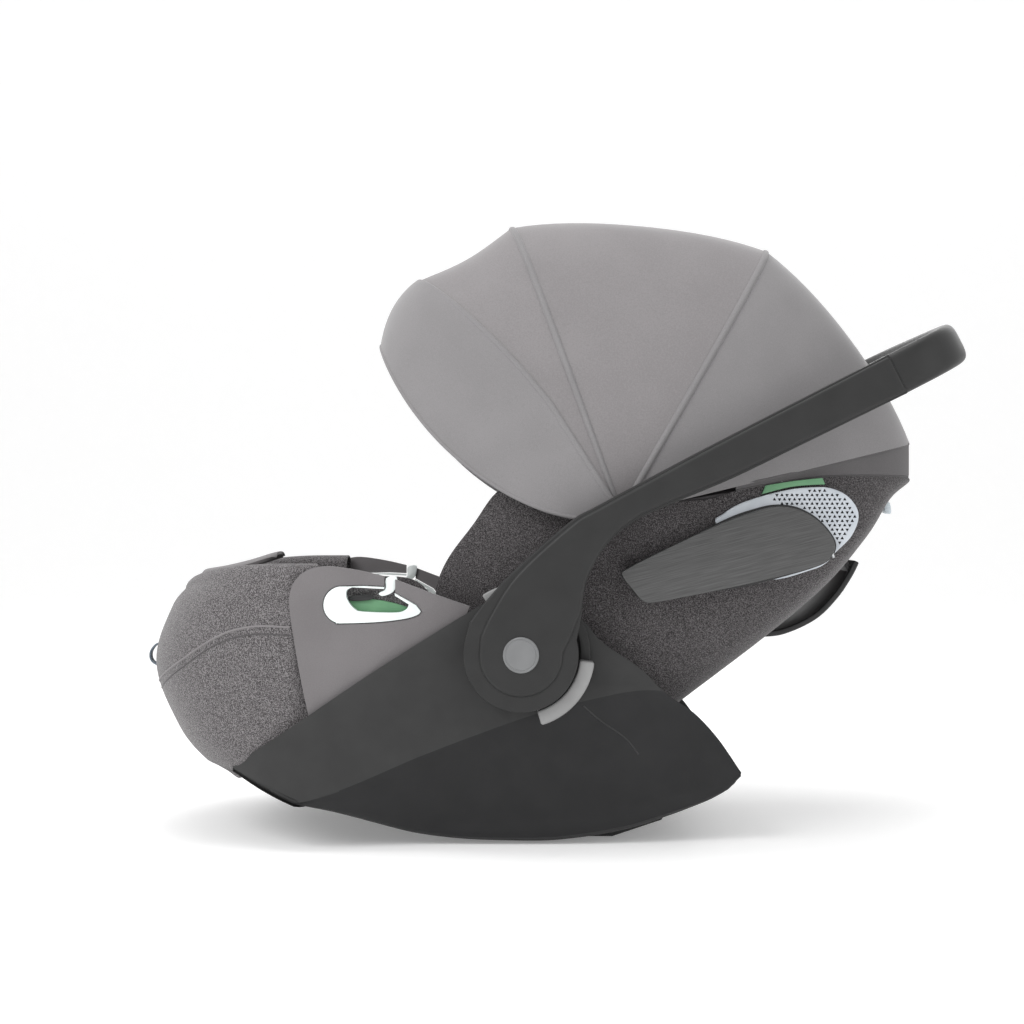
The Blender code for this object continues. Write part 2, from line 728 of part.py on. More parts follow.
def side_flaps(backrest, axes):
    near = cover_outside + 0.0065
    for side, word in ((-1, "left"), (1, "right")):
        place, run = flap_hinge()
        place = Vector((place.x, -side * place.y, place.z))
        outline = from_flap_hinge(flap_corners)
        flap = side_plate(word + "_side_flap", [outline], near, near + flap_thickness, side)
        bore = rod(word + "_flap_bore", 0.0018, place - run * 0.06, place + run * 0.06, cutters, 12)
        boolean(flap, bore)
        put(flap, axes[word], material("brushed grey", (0.13, 0.13, 0.13), 0.4, 0.3))
        pin = rod(word + "_flap_pin", 0.0014, place - run * 0.0120, place + run * 0.0120, steps=12)
        put(pin, backrest, steel())


def vent_grilles(backrest):
    """Silver trim plates round the rear ends of the side flaps."""
    near = cover_outside + 0.0006
    for side, word in ((-1, "left"), (1, "right")):
        outline = from_flap_hinge(grille_corners)
        item = side_plate(word + "_vent_grille", [outline], near, near + 0.0040, side)
        put(item, backrest, material("silver plastic", (0.55, 0.58, 0.62), 0.35, 0.2))


def belt_marks(backrest):
    """Green marks that show where the vehicle belt runs."""
    near = cover_outside + 0.0006
    for side, word in ((-1, "left"), (1, "right")):
        outline = [(0.2192, 0.3130), (0.2435, 0.3192), (0.2640, 0.3212), (0.2749, 0.3216),
                   (0.2725, 0.3275), (0.2475, 0.3248), (0.2225, 0.3208)]
        item = side_plate(word + "_belt_mark", [outline], near, near + 0.002, side)
        put(item, backrest, material("green", (0.11, 0.26, 0.14), 0.6))


def back_hook(backrest):
    """Shoulder-belt hook behind the backrest, and the fabric tab at the head end."""
    path = smooth_path([(0.2325, 0.1822), (0.2560, 0.1850), (0.2850, 0.1985), (0.3050, 0.2180),
                        (0.3185, 0.2380), (0.3250, 0.2510)], 3)
    hook = plate("shoulder_belt_guide", [strip(path, 0.0055)], 0.110, upright())
    rounded(hook, 0.0015, 1)
    put(hook, backrest, black_plastic())
    outline = [(0.3600, 0.2985), (0.3660, 0.2960), (0.3650, 0.3060), (0.3610, 0.3070)]
    tab = plate("rear_tab", [outline], 0.022, upright())
    put(tab, backrest, material("pale fabric", (0.62, 0.68, 0.70), 0.8))


# ---- harness ----
def crotch_strap(backrest):
    top = pan_radius - shell_wall - 0.0035 - 0.018
    path = []
    for k in range(4):
        a = radians(-136 + 10 * k)
        r = top - 0.0022 - 0.0025 * k
        path.append((r * cos(a), r * sin(a)))
    item = plate("crotch_strap", [strip(back_pairs(path), strap_thickness)], 0.030, upright())
    put(item, backrest, webbing())


def buckle_frame():
    """Frame of the buckle: its X up the backrest, its Z out from the cushion."""
    middle = back_point(-0.012, -0.0790)
    turn = Matrix.Rotation(-back_angle + radians(14), 4, "Y")
    return Matrix.Translation(middle) @ turn


def framed_box(name, low, high, frame, bevel=0.0):
    item = box(name, low, high, bevel)
    item.data.transform(frame)
    return item


def buckle(backrest, button_axis):
    size = buckle_size / 2
    frame = buckle_frame()
    body = framed_box("buckle", (-size.x, -size.y, -size.z), (size.x, size.y, size.z), frame, 0.003)
    well = framed_box("button_well", (-0.0135, -0.0115, size.z - 0.0065), (0.0135, 0.0115, 0.02),
                      frame)
    parts.objects.unlink(well)
    cutters.objects.link(well)
    boolean(body, well)
    put(body, backrest, black_plastic())
    button = framed_box("buckle_button", (-0.0128, -0.0108, size.z - 0.0028),
                        (0.0128, 0.0108, size.z + 0.0006), frame, 0.0008)
    put(button, button_axis, material("red plastic", (0.45, 0.03, 0.03), 0.4))


def shoulder_harness(headrest):
    """Shoulder straps from the headrest's slots to the buckle, with their pads."""
    middle = buckle_size.x / 2
    path = [(0.026, -0.0770), (0.050, -0.0845), (0.080, -0.0900), (0.125, -0.0900), (0.148, -0.0890)]
    pad_path = [(0.052, -0.0810), (0.080, -0.0860), (0.105, -0.0860), (0.128, -0.0855)]
    for side, word in ((-1, "left"), (1, "right")):
        strap = plate(word + "_shoulder_strap", [strip(back_pairs(path), strap_thickness)],
                      strap_width * 0.8, upright(side * (middle + 0.012)))
        put(strap, headrest, webbing())
        pad = plate(word + "_shoulder_pad", [strip(back_pairs(pad_path), 0.0055)], 0.052,
                    upright(side * (middle + 0.012)))
        put(pad, headrest, heather())


def headrest_pieces(headrest):
    """Winged headrest: a hard C-shaped shell and the pad inside it."""
    frame = Matrix((
        (0, out.x, along.x, back_point(0.2025, 0).x),
        (1, 0, 0, 0),
        (0, out.z, along.z, back_point(0.2025, 0).z),
        (0, 0, 0, 1),
    ))
    for name, grow, thick, look in (
            ("headrest_shell", 0.0, 0.003, light_plastic()),
            ("headrest_pad", -0.0125, 0.018, heather())):
        path = [(-0.122 - grow, -0.023), (-0.122 - grow, -0.063)]
        path += arc((-0.102, -0.065), 0.020 + grow, 180, 270, 4)[1:]
        path += [(-0.05, -0.085 - grow), (0.05, -0.085 - grow)]
        path += arc((0.102, -0.065), 0.020 + grow, 270, 360, 4)
        path += [(0.122 + grow, -0.023)]
        item = plate(name, [strip(path, thick)], 0.092, frame)
        put(item, headrest, look)


# ---- canopy ----
def arch_point(theta, t, radius, half_width):
    """Point on a canopy arch: t runs from 0 at the left pivot to pi at the right one."""
    r = radius * sin(t) ** 0.55
    y = -half_width * (1 if cos(t) >= 0 else -1) * abs(cos(t)) ** 0.42
    return Vector((canopy_pivot.x + r * cos(theta), y, canopy_pivot.z + r * sin(theta)))


def canopy_bow(name, axis):
    word = name.split("_")[1]
    theta, half = bow_angles[word], bow_half_width[word]
    steps = 26
    first = 0.0012
    path = []
    for k in range(steps + 1):
        t = first + (pi - 2 * first) * (0.5 - 0.5 * cos(pi * k / steps))
        path.append(arch_point(theta, t, canopy_radius, half))
    bow = tube(name, path, bow_radius)
    for side in (-1, 1):
        eye = rod(name + "_eye" + str(side), 0.009, (canopy_pivot.x, side * (half - 0.0022),
                  canopy_pivot.z), (canopy_pivot.x, side * (half + 0.0022), canopy_pivot.z), cutters)
        boolean(bow, eye, "UNION")
    bore = rod(name + "_bore", 0.0046, (canopy_pivot.x, -0.25, canopy_pivot.z),
               (canopy_pivot.x, 0.25, canopy_pivot.z), cutters)
    boolean(bow, bore)
    put(bow, axis, steel())


def canopy_pins(backrest):
    near = cover_outside + 0.0004
    far = arm_inside - 0.0020
    for side, word in ((-1, "left"), (1, "right")):
        pin = rod(word + "_canopy_pivot", 0.0042, (canopy_pivot.x, side * near, canopy_pivot.z),
                  (canopy_pivot.x, side * far, canopy_pivot.z))
        put(pin, backrest, black_plastic())


def canopy_sheet(name, from_bow, to_angle, to_width, axis, rows=5, start=0.16):
    """Fabric between two arches, clear of both bows."""
    clear = bow_radius + 0.0018
    theta0, half0 = bow_angles[from_bow], bow_half_width[from_bow]
    grid = []
    across = 18
    for k in range(across + 1):
        t = start + (pi - 2 * start) * k / across
        r = canopy_radius * sin(t) ** 0.55
        high = theta0 - clear / r
        low = to_angle + clear / r
        row = []
        for j in range(rows + 1):
            f = j / rows
            sag = 1 - 0.020 * sin(pi * f) * sin(t)
            half = half0 + (to_width - half0) * f
            row.append(arch_point(high + (low - high) * f, t, canopy_radius * sag, half))
        grid.append(row)
    return fabric(name, grid, axis)


def fabric(name, grid, axis):
    bm = bmesh.new()
    dots = [[bm.verts.new(point) for point in row] for row in grid]
    for first, second in zip(dots, dots[1:]):
        for k in range(len(first) - 1):
            bm.faces.new((first[k], second[k], second[k + 1], first[k + 1]))
    mesh = bpy.data.meshes.new(name)
    bm.to_mesh(mesh)
    bm.free()
    item = bpy.data.objects.new(name, mesh)
    parts.objects.link(item)
    wall = item.modifiers.new("cloth", "SOLIDIFY")
    wall.thickness = fabric_thickness
    wall.offset = 0.0
    put(item, axis, canopy_fabric())
    return item


def canopy_visor(axis):
    """Peak of the canopy, ahead of the front bow; its sides reach down past the pivots."""
    theta, half = bow_angles["front"], bow_half_width["front"]
    clear = bow_radius + 0.0016
    start = 0.09
    across = 22
    grid = []
    for k in range(across + 1):
        t = start + (pi - 2 * start) * k / across
        share = sin(t) ** 0.55
        r = canopy_radius * share
        reach = radians(13.6 + 38 * (1 - share))
        row = []
        for j in range(4):
            f = j / 3
            near = theta + clear / r
            angle = near + (theta + reach - near) * f
            row.append(arch_point(angle, t, canopy_radius * (1 - 0.055 * f**1.5), half))
        grid.append(row)
    return fabric("canopy_visor", grid, axis)


# ---- handle ----
def arm_corner(sign):
    """Upper or lower corner of an arm's end."""
    return (arm_end.x - sign * sin(arm_rise) * grip_height / 2,
            arm_end.z + sign * cos(arm_rise) * grip_height / 2)


def arm_outline():
    """Side outline of a handle arm: round at the hub, then a long straight bar."""
    hub_part = arc((hub.x, hub.z), hub_radius, 15, -195, 21)
    upper = smooth_path([(-0.0365, 0.2020), (-0.0220, 0.2210), (0.0026, 0.2474), (0.0501, 0.2890),
                         (0.0760, 0.3040), (0.1623, 0.3500), (0.2487, 0.3945), arm_corner(1)], 2)
    lower = smooth_path([arm_corner(-1), (0.2502, 0.3560), (0.1894, 0.3265), (0.1286, 0.3010),
                         (0.1025, 0.2880), (0.0810, 0.2690), (0.0640, 0.2400), (0.0600, 0.2100)], 2)
    return [Vector(point) for point in hub_part] + upper + lower


def handle_arms(handle):
    bore = arc((hub.x, hub.z), spindle_radius + running_gap, 0, 345, 23)
    for side, word in ((-1, "left"), (1, "right")):
        arm = side_plate(word + "_handle_arm", [arm_outline(), bore], arm_inside, arm_outside, side)
        rounded(arm, 0.004, 2)
        smooth_shading(arm, 50)
        put(arm, handle, dark_plastic())
        cap = rod(word + "_hub_cap", cap_radius, (hub.x, side * (arm_outside + 0.0003), hub.z),
                  (hub.x, side * (arm_outside + 0.0016), hub.z), steps=32)
        put(cap, handle, light_plastic())


def handle_grip(handle):
    """Crossbar that joins the arms' ends in one rounded U."""
    run = Vector((cos(arm_rise), 0, sin(arm_rise)))
    rise = Vector((-sin(arm_rise), 0, cos(arm_rise)))
    middle_y = 0.5 * (arm_inside + arm_outside)
    start = 0.0015
    stations = [(start, middle_y)]
    count = 9
    for k in range(1, count + 1):
        a = k / count * pi / 2
        stations.append((start + 0.004 + (grip_reach - 0.004) * sin(a) ** 0.8,
                         middle_y * max(cos(a), 0) ** 0.55))
    stations[-1] = (stations[-1][0], 0)
    rings = []
    for i, (reach, y) in enumerate(stations):
        before = stations[max(i - 1, 0)]
        after = stations[i + 1] if i + 1 < len(stations) else (reach, -stations[i - 1][1])
        tangent = Vector((after[0] - before[0], after[1] - before[1])).normalized()
        if y == 0:
            tangent = Vector((0, -1))
        across = Vector((tangent.y, -tangent.x))
        centre = arm_end + run * reach + Vector((0, -y, 0))
        side = run * across.x + Vector((0, -across.y, 0))
        ring = []
        for a in range(0, 360, 30):
            c, s = cos(radians(a)), sin(radians(a))
            p = arm_thickness / 2 * (1 if c > 0 else -1) * abs(c) ** 0.6
            q = grip_height / 2 * (1 if s > 0 else -1) * abs(s) ** 0.6
            ring.append(centre + side * p + rise * q)
        rings.append(ring)
    bm = bmesh.new()
    loops = [[bm.verts.new(point) for point in ring] for ring in rings]
    for first, second in zip(loops, loops[1:]):
        for k in range(len(first)):
            n = (k + 1) % len(first)
            bm.faces.new((first[k], first[n], second[n], second[k]))
    bm.faces.new(loops[0][::-1])
    item = new_mesh_object("handle_grip", bm)
    mirror = item.modifiers.new("other side", "MIRROR")
    mirror.use_axis = (False, True, False)
    mirror.use_clip = True
    mirror.merge_threshold = 0.0001
    smooth_shading(item, 50)
    put(item, handle, dark_plastic())


def release_buttons(axes):
    """Curved buttons behind the arms' hubs; their rear pads are what a thumb presses."""
    near = shell_half_width + button_travel + 0.0010
    far = arm_inside - 0.0006
    for side, word in ((-1, "left"), (1, "right")):
        spine = arc((hub.x, hub.z), 0.0560, -74, 120, 24)
        item = side_plate(word + "_release_button", [strip(spine, 0.0090)], near, far, side)
        pad_spine = arc((hub.x, hub.z), 0.0572, -74, -6, 10)
        pad = side_plate(word + "_button_pad", [strip(pad_spine, 0.0130)], near + 0.001,
                         arm_outside - 0.0065, side, cutters)
        boolean(item, pad, "UNION")
        put(item, axes[word], light_plastic())


# ---- assembly ----
def stand_over_origin(datum):
    """Moves everything so that the origin is under the middle of the length, on the floor."""
    bpy.context.view_layer.update()
    graph = bpy.context.evaluated_depsgraph_get()
    corners = []
    for item in parts.objects:
        if item.type == "MESH":
            shape = item.evaluated_get(graph)
            corners += [shape.matrix_world @ Vector(corner) for corner in shape.bound_box]
    low_x = min(corner.x for corner in corners)
    high_x = max(corner.x for corner in corners)
    low_z = min(corner.z for corner in corners)
    datum.location = (-(low_x + high_x) / 2, 0, -low_z)


def build():
    clear_scene()
    origin = datum_empty("seat_datum", Vector((0, 0, 0)))
    backrest = datum_empty("recline_axis", hub, origin)
    handle = datum_empty("handle_axis", hub, origin)
    headrest = datum_empty("headrest_slide", back_point(0.2, -0.09), backrest)
    middle = datum_empty("canopy_middle_axis", canopy_pivot, backrest)
    rear = datum_empty("canopy_rear_axis", canopy_pivot, backrest)
    front = datum_empty("canopy_front_axis", canopy_pivot, middle)
    buckle_axis = datum_empty("buckle_button_slide", back_point(-0.012, -0.07), backrest)
    flap_axes, button_axes = {}, {}
    for side, word in ((-1, "left"), (1, "right")):
        place = flap_hinge()[0]
        place = Vector((place.x, -side * place.y, place.z))
        flap_axes[word] = datum_empty(word + "_flap_axis", place, backrest)
        button_axes[word] = datum_empty(word + "_button_slide", hub, handle)
    adjuster = datum_empty("adjuster_slide", Vector((-0.175, 0, 0.09)), origin)

    base_shell(origin)
    rocker_rails(origin)
    lock_bars(origin)
    spindles(origin)
    side_panels(origin)
    belt_guides(origin)
    foot_cover(origin)
    foot_trim(origin)
    seat_liner(origin)
    leg_pad(origin)
    harness_adjuster(adjuster)
    bore = backrest_shell(backrest)
    backrest_cover(backrest, bore)
    trunnions(backrest)
    back_pad(backrest)
    canopy_band(backrest)
    side_flaps(backrest, flap_axes)
    vent_grilles(backrest)
    belt_marks(backrest)
    back_hook(backrest)
    crotch_strap(backrest)
    buckle(backrest, buckle_axis)
    shoulder_harness(headrest)
    headrest_pieces(headrest)
    canopy_pins(backrest)
    canopy_bow("canopy_rear_bow", rear)
    canopy_bow("canopy_middle_bow", middle)
    canopy_bow("canopy_front_bow", front)
    canopy_sheet("canopy_rear_panel", "rear", band_angle, bow_half_width["rear"], rear, 5, 0.20)
    canopy_sheet("canopy_middle_panel", "middle", bow_angles["rear"], bow_half_width["rear"],
                 middle, 5, 0.20)
    canopy_sheet("canopy_front_panel", "front", bow_angles["middle"], bow_half_width["middle"],
                 front, 3, 0.20)
    canopy_visor(front)
    handle_arms(handle)
    handle_grip(handle)
    release_buttons(button_axes)
    for cutter in cutters.objects:
        cutter.parent = origin
    stand_over_origin(origin)


build()
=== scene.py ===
import bpy
import bmesh
from math import cos, pi, radians, sin, sqrt, tan
from mathutils import Matrix, Vector


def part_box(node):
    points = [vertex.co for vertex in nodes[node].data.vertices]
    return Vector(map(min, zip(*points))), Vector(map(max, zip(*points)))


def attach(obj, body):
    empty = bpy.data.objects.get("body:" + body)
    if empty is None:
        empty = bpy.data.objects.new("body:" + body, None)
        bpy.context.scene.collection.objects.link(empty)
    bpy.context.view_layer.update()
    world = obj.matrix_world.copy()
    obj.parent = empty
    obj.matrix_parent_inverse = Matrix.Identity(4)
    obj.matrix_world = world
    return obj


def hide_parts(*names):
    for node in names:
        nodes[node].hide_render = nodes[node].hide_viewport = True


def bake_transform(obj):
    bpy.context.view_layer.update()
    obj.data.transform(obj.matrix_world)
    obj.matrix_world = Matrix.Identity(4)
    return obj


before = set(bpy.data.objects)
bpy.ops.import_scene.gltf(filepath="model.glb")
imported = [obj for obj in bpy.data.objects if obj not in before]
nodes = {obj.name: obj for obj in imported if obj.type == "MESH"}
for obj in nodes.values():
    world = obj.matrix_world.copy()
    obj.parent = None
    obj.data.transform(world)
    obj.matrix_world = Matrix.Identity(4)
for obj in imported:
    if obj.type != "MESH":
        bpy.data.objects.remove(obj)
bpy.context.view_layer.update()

lowHub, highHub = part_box("left_hub_spindle")
hub = Vector((0.0077, 0, (lowHub.z + highHub.z) / 2))
shiftX = (lowHub.x + highHub.x) / 2 - hub.x  # from the drawing frame to the row's frame
backAngle = radians(35)
along = Vector((cos(backAngle), 0, sin(backAngle)))  # up the backrest
out = Vector((-sin(backAngle), 0, cos(backAngle)))  # out of the backrest
canopyPivot = Vector((0.0944, 0, 0.295))
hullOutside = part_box("base_shell")[1].y
armInside, armOutside = -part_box("left_handle_arm")[1].y, -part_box("left_handle_arm")[0].y
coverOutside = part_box("backrest_cover")[1].y
panelInside, panelOutside = -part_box("left_side_panel")[1].y, -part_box("left_side_panel")[0].y


# materials
def linear(hexColour):
    channels = []
    for k in (1, 3, 5):
        c = int(hexColour[k:k + 2], 16) / 255
        channels.append(c / 12.92 if c <= 0.04045 else ((c + 0.055) / 1.055) ** 2.4)
    return (*channels, 1)


def add(material, kind, settings=None, links=None):  # one node, its settings and its links
    node = material.node_tree.nodes.new(kind)
    for name, value in (settings or {}).items():
        if isinstance(name, int) or name in node.inputs:
            node.inputs[name].default_value = value
        else:
            setattr(node, name, value)
    for name, source in (links or {}).items():
        material.node_tree.links.new(source, node.inputs[name])
    return node


def newMaterial(name, roughness, extra=None):  # with its shader, and the place that its patterns read
    material = bpy.data.materials.new(name)
    material.use_nodes = True
    shader = material.node_tree.nodes["Principled BSDF"]
    for socket, value in {"Roughness": roughness, **(extra or {})}.items():
        shader.inputs[socket].default_value = value
    return material, shader, add(material, "ShaderNodeTexCoord").outputs["Object"]


def join(material, source, shader, socket):
    material.node_tree.links.new(source, shader.inputs[socket])


def ramp(material, source, stops):
    node = add(material, "ShaderNodeValToRGB", links={"Fac": source})
    elements = node.color_ramp.elements
    while len(elements) < len(stops):
        elements.new(0.5)
    for element, (place, colour) in zip(elements, stops):
        element.position = place
        element.color = linear(colour)
    return node.outputs["Color"]


def noise(material, place, scale, detail, **settings):
    values = {"Scale": scale, "Detail": detail, **settings}
    return add(material, "ShaderNodeTexNoise", values, {"Vector": place}).outputs["Fac"]


def wave(material, place, scale, distortion, direction):
    values = {"Scale": scale, "Distortion": distortion, "bands_direction": direction}
    return add(material, "ShaderNodeTexWave", values, {"Vector": place}).outputs["Fac"]


def crossed(material, first, second):
    return add(material, "ShaderNodeMath", {"operation": "MULTIPLY"}, {0: first, 1: second}).outputs["Value"]


def weighed(material, first, share, second):  # first times share, plus second
    values = {"operation": "MULTIPLY_ADD", 1: share}
    return add(material, "ShaderNodeMath", values, {0: first, 2: second}).outputs["Value"]


def paint(material, shader, source, *stops):
    join(material, ramp(material, source, stops), shader, "Base Color")


def roughen(material, shader, source, low, high):
    worn = add(material, "ShaderNodeMapRange", {"To Min": low, "To Max": high}, {"Value": source})
    join(material, worn.outputs["Result"], shader, "Roughness")


def emboss(material, shader, height, strength, depth):
    bump = add(material, "ShaderNodeBump", {"Strength": strength, "Distance": depth}, {"Height": height})
    join(material, bump.outputs["Normal"], shader, "Normal")


# injection-moulded plastic: fine spark-eroded grain, and a slow drift of shade over the part
def mouldedPlastic(name, colour, light, roughness, grain=0.0006, relief=0.12, extra=None):
    material, shader, place = newMaterial(name, roughness, {"IOR": 1.49, **(extra or {})})
    paint(material, shader, noise(material, place, 40.0, 2.0), (0.3, colour), (0.7, light))
    fine = noise(material, place, 1 / grain, 3.0)
    roughen(material, shader, fine, roughness - 0.05, roughness + 0.07)
    emboss(material, shader, fine, relief, 0.0002)
    return material


# melange yarn: flecks about 1 mm long over a 0.6 mm weave, drawn a little coarse so that they show
def heatherWeave(name, dark, mid, light, fleck=0.00095, yarn=0.0006, relief=0.5):
    fuzz = {"Sheen Weight": 0.25, "Sheen Roughness": 0.5, "Specular IOR Level": 0.2}
    material, shader, place = newMaterial(name, 0.92, fuzz)
    coarse = noise(material, place, 1 / fleck, 2.5, Roughness=0.65)
    flecks = weighed(material, noise(material, place, 1 / yarn, 1.0), 0.45, coarse)
    paint(material, shader, flecks, (0.62, dark), (0.72, mid), (0.84, light))
    weave = add(material, "ShaderNodeTexVoronoi", {"Scale": 0.8 / yarn}, {"Vector": place})
    emboss(material, shader, weave.outputs["Distance"], relief, 0.0006)
    return material


# tight plain weave: 0.7 mm threads that show only as a soft grain, with a velvety edge
def plainWeave(name, colour, light, thread=0.0007, sheen=0.3, relief=0.2):
    fuzz = {"Sheen Weight": sheen, "Sheen Roughness": 0.4, "Specular IOR Level": 0.25}
    material, shader, place = newMaterial(name, 0.85, fuzz)
    fleck = noise(material, place, 1 / thread, 2.0)
    shade = weighed(material, noise(material, place, 25.0, 1.0), 0.4, fleck)
    paint(material, shader, shade, (0.55, colour), (0.85, light))
    warp, weft = (wave(material, place, 0.32 / thread, 0.6, way) for way in "XZ")
    emboss(material, shader, crossed(material, warp, weft), relief, 0.0003)
    return material


# brushed film: streaks half a millimetre wide and about 30 mm long that run along the piece
def brushedFilm(name, colour, light, turn):
    material, shader, place = newMaterial(name, 0.4, {"Metallic": 0.35})
    stretch = {"vector_type": "TEXTURE", "Rotation": (0, turn, 0), "Scale": (0.030, 0.002, 0.0005)}
    turned = add(material, "ShaderNodeMapping", stretch, {"Vector": place})
    streak = noise(material, turned.outputs["Vector"], 1.0, 4.0)
    paint(material, shader, streak, (0.35, colour), (0.65, light))
    emboss(material, shader, streak, 0.12, 0.0002)
    return material


# webbing: ribs 1.4 mm apart across the strap, with a satin thread shine
def wovenWebbing(name, colour, light, rib=0.0014):
    material, shader, place = newMaterial(name, 0.7, {"Sheen Weight": 0.2})
    ribs = wave(material, place, 0.32 / rib, 0.3, "X")
    cross = crossed(material, ribs, wave(material, place, 0.20 / rib, 0.2, "Y"))
    paint(material, shader, cross, (0.1, colour), (0.8, light))
    emboss(material, shader, cross, 0.6, 0.0004)
    return material


# drawn steel bar: bright, with fine lines left by the die
def drawnSteel(name):
    material, shader, place = newMaterial(name, 0.3, {"Metallic": 1.0})
    lines = noise(material, place, 900.0, 2.0)
    paint(material, shader, lines, (0.3, "#a9abad"), (0.7, "#c9cbcc"))
    roughen(material, shader, lines, 0.24, 0.4)
    return material


dull = {"Specular IOR Level": 0.3}  # dark grained plastic mirrors little
hullAbs = mouldedPlastic("moulded PP hull", "#2d2d2d", "#323232", 0.5, extra=dull)
# the same hull plastic made darker: painted shade on the tucked-in lower half below the crease
hullShadeAbs = mouldedPlastic("moulded PP hull, painted shade below the crease", "#1f1f20", "#232324", 0.55, extra=dull)
armAbs = mouldedPlastic("moulded nylon arm", "#272727", "#2b2b2b", 0.45, extra=dull)
blackAbs = mouldedPlastic("moulded black ABS", "#1c1c1d", "#222223", 0.45)
greyAbs = mouldedPlastic("moulded grey ABS", "#848484", "#8e8e8e", 0.4)
discAbs = mouldedPlastic("satin grey ABS disc", "#6c6d6e", "#767778", 0.32, extra={"Coat Weight": 0.2})
whiteAbs = mouldedPlastic("moulded white ABS", "#dfe8e6", "#edf2f1", 0.35)
greenAbs = mouldedPlastic("moulded green ABS", "#5b8a66", "#66956f", 0.5)
redAbs = mouldedPlastic("gloss red ABS", "#a5161a", "#b01d20", 0.22)
silverAbs = mouldedPlastic("silver lacquered ABS", "#b4bac1", "#c6cbd1", 0.34, relief=0.05,
                           extra={"Metallic": 0.25})
heather = heatherWeave("heather wool weave", "#393637", "#5b5859", "#868384")
heatherBack = heatherWeave("heather wool weave of the back", "#272526", "#413e3f", "#696667")
plainCloth = plainWeave("plain polyester weave", "#6e6b6c", "#767374")
bandCloth = plainWeave("plain polyester weave of the band", "#5a5859", "#615f60")
canopyCloth = plainWeave("canopy polyester weave", "#7e7c7d", "#868485")
innerCloth = plainWeave("canopy melange weave", "#7f7c7d", "#868384", thread=0.0012)
liningCloth = plainWeave("lining jersey", "#4c4a4b", "#565455")
tabCloth = plainWeave("pale satin tab", "#c4d0d6", "#dbe3e8")
ribbonCloth = wovenWebbing("grosgrain ribbon", "#5c6874", "#7b8794", rib=0.0010)
strapCloth = wovenWebbing("polyester harness webbing", "#262628", "#3a3a3d")
pipingCloth = plainWeave("piping cord", "#777475", "#807d7e")
steel = drawnSteel("drawn steel")
flapFilm = brushedFilm("brushed film", "#424242", "#575757", radians(-14))
print("materials ready")


# shape helpers
def spline(points, x):
    last = len(points) - 2
    k = 0
    while k < last and x > points[k + 1][0]:
        k += 1
    slopes = []
    for i in (k, k + 1):
        low, high = points[max(i - 1, 0)], points[min(i + 1, len(points) - 1)]
        slopes.append((high[1] - low[1]) / (high[0] - low[0]))
    (x0, z0), (x1, z1) = points[k], points[k + 1]
    span = x1 - x0
    t = min(max((x - x0) / span, 0), 1)
    rise = (2 * t**3 - 3 * t**2 + 1) * z0 + (3 * t**2 - 2 * t**3) * z1
    return rise + span * ((t**3 - 2 * t**2 + t) * slopes[0] + (t**3 - t**2) * slopes[1])


def smoothPath(points, steps, closed=False):
    points = [Vector(p) for p in points]
    count = len(points)
    found = []
    for i in range(count if closed else count - 1):
        if closed:
            p0, p1, p2, p3 = (points[(i + k) % count] for k in (-1, 0, 1, 2))
        else:
            p0, p1, p2, p3 = (points[min(max(i + k, 0), count - 1)] for k in (-1, 0, 1, 2))
        for s in range(steps):
            t = s / steps
            found.append(0.5 * (2 * p1 + (p2 - p0) * t + (2 * p0 - 5 * p1 + 4 * p2 - p3) * t**2
                                + (3 * p1 - p0 - 3 * p2 + p3) * t**3))
    return found if closed else found + [points[-1]]


def arc(centre, radius, start, end, steps):
    return [(centre[0] + radius * cos(radians(start + (end - start) * i / steps)),
             centre[1] + radius * sin(radians(start + (end - start) * i / steps))) for i in range(steps + 1)]


def strip(path, thickness):
    left, right = [], []
    for i, point in enumerate(path):
        run = (Vector(path[min(i + 1, len(path) - 1)]) - Vector(path[max(i - 1, 0)])).normalized()
        side = Vector((-run.y, run.x)) * thickness / 2
        left.append(Vector(point) + side)
        right.append(Vector(point) - side)
    return left + right[::-1]


def inset(path, distance):
    moved = []
    for i, point in enumerate(path):
        run = (Vector(path[min(i + 1, len(path) - 1)]) - Vector(path[max(i - 1, 0)])).normalized()
        moved.append(Vector(point) + Vector((-run.y, run.x)) * distance)
    return moved


def cleanObject(name, bm, material, dist=0.00002):
    bmesh.ops.remove_doubles(bm, verts=bm.verts, dist=dist)
    bmesh.ops.recalc_face_normals(bm, faces=bm.faces)
    mesh = bpy.data.meshes.new(name)
    bm.to_mesh(mesh)
    bm.free()
    item = bpy.data.objects.new(name, mesh)
    bpy.context.scene.collection.objects.link(item)
    mesh.materials.clear()
    mesh.materials.append(material)
    return item


def gridObject(name, rows, material, closed=False):
    bm = bmesh.new()
    dots = [[bm.verts.new(p) for p in row] for row in rows]
    wide = len(rows[0])
    for first, second in zip(dots, dots[1:]):
        for k in range(wide if closed else wide - 1):
            n = (k + 1) % wide
            bm.faces.new((first[k], first[n], second[n], second[k]))
    return cleanObject(name, bm, material)


def fromCurve(name, curve, material, move=None):
    shaped = bpy.data.objects.new(name + "Line", curve)
    bpy.context.scene.collection.objects.link(shaped)
    bpy.context.view_layer.update()
    mesh = bpy.data.meshes.new_from_object(shaped.evaluated_get(bpy.context.evaluated_depsgraph_get()))
    bpy.data.objects.remove(shaped)
    bm = bmesh.new()
    bm.from_mesh(mesh)
    if move:
        bmesh.ops.transform(bm, matrix=move, verts=bm.verts)
        bmesh.ops.remove_doubles(bm, verts=bm.verts, dist=0.00001)
        bmesh.ops.dissolve_limit(bm, angle_limit=0.002, verts=bm.verts, edges=bm.edges)
    return cleanObject(name, bm, material, 0.00001)


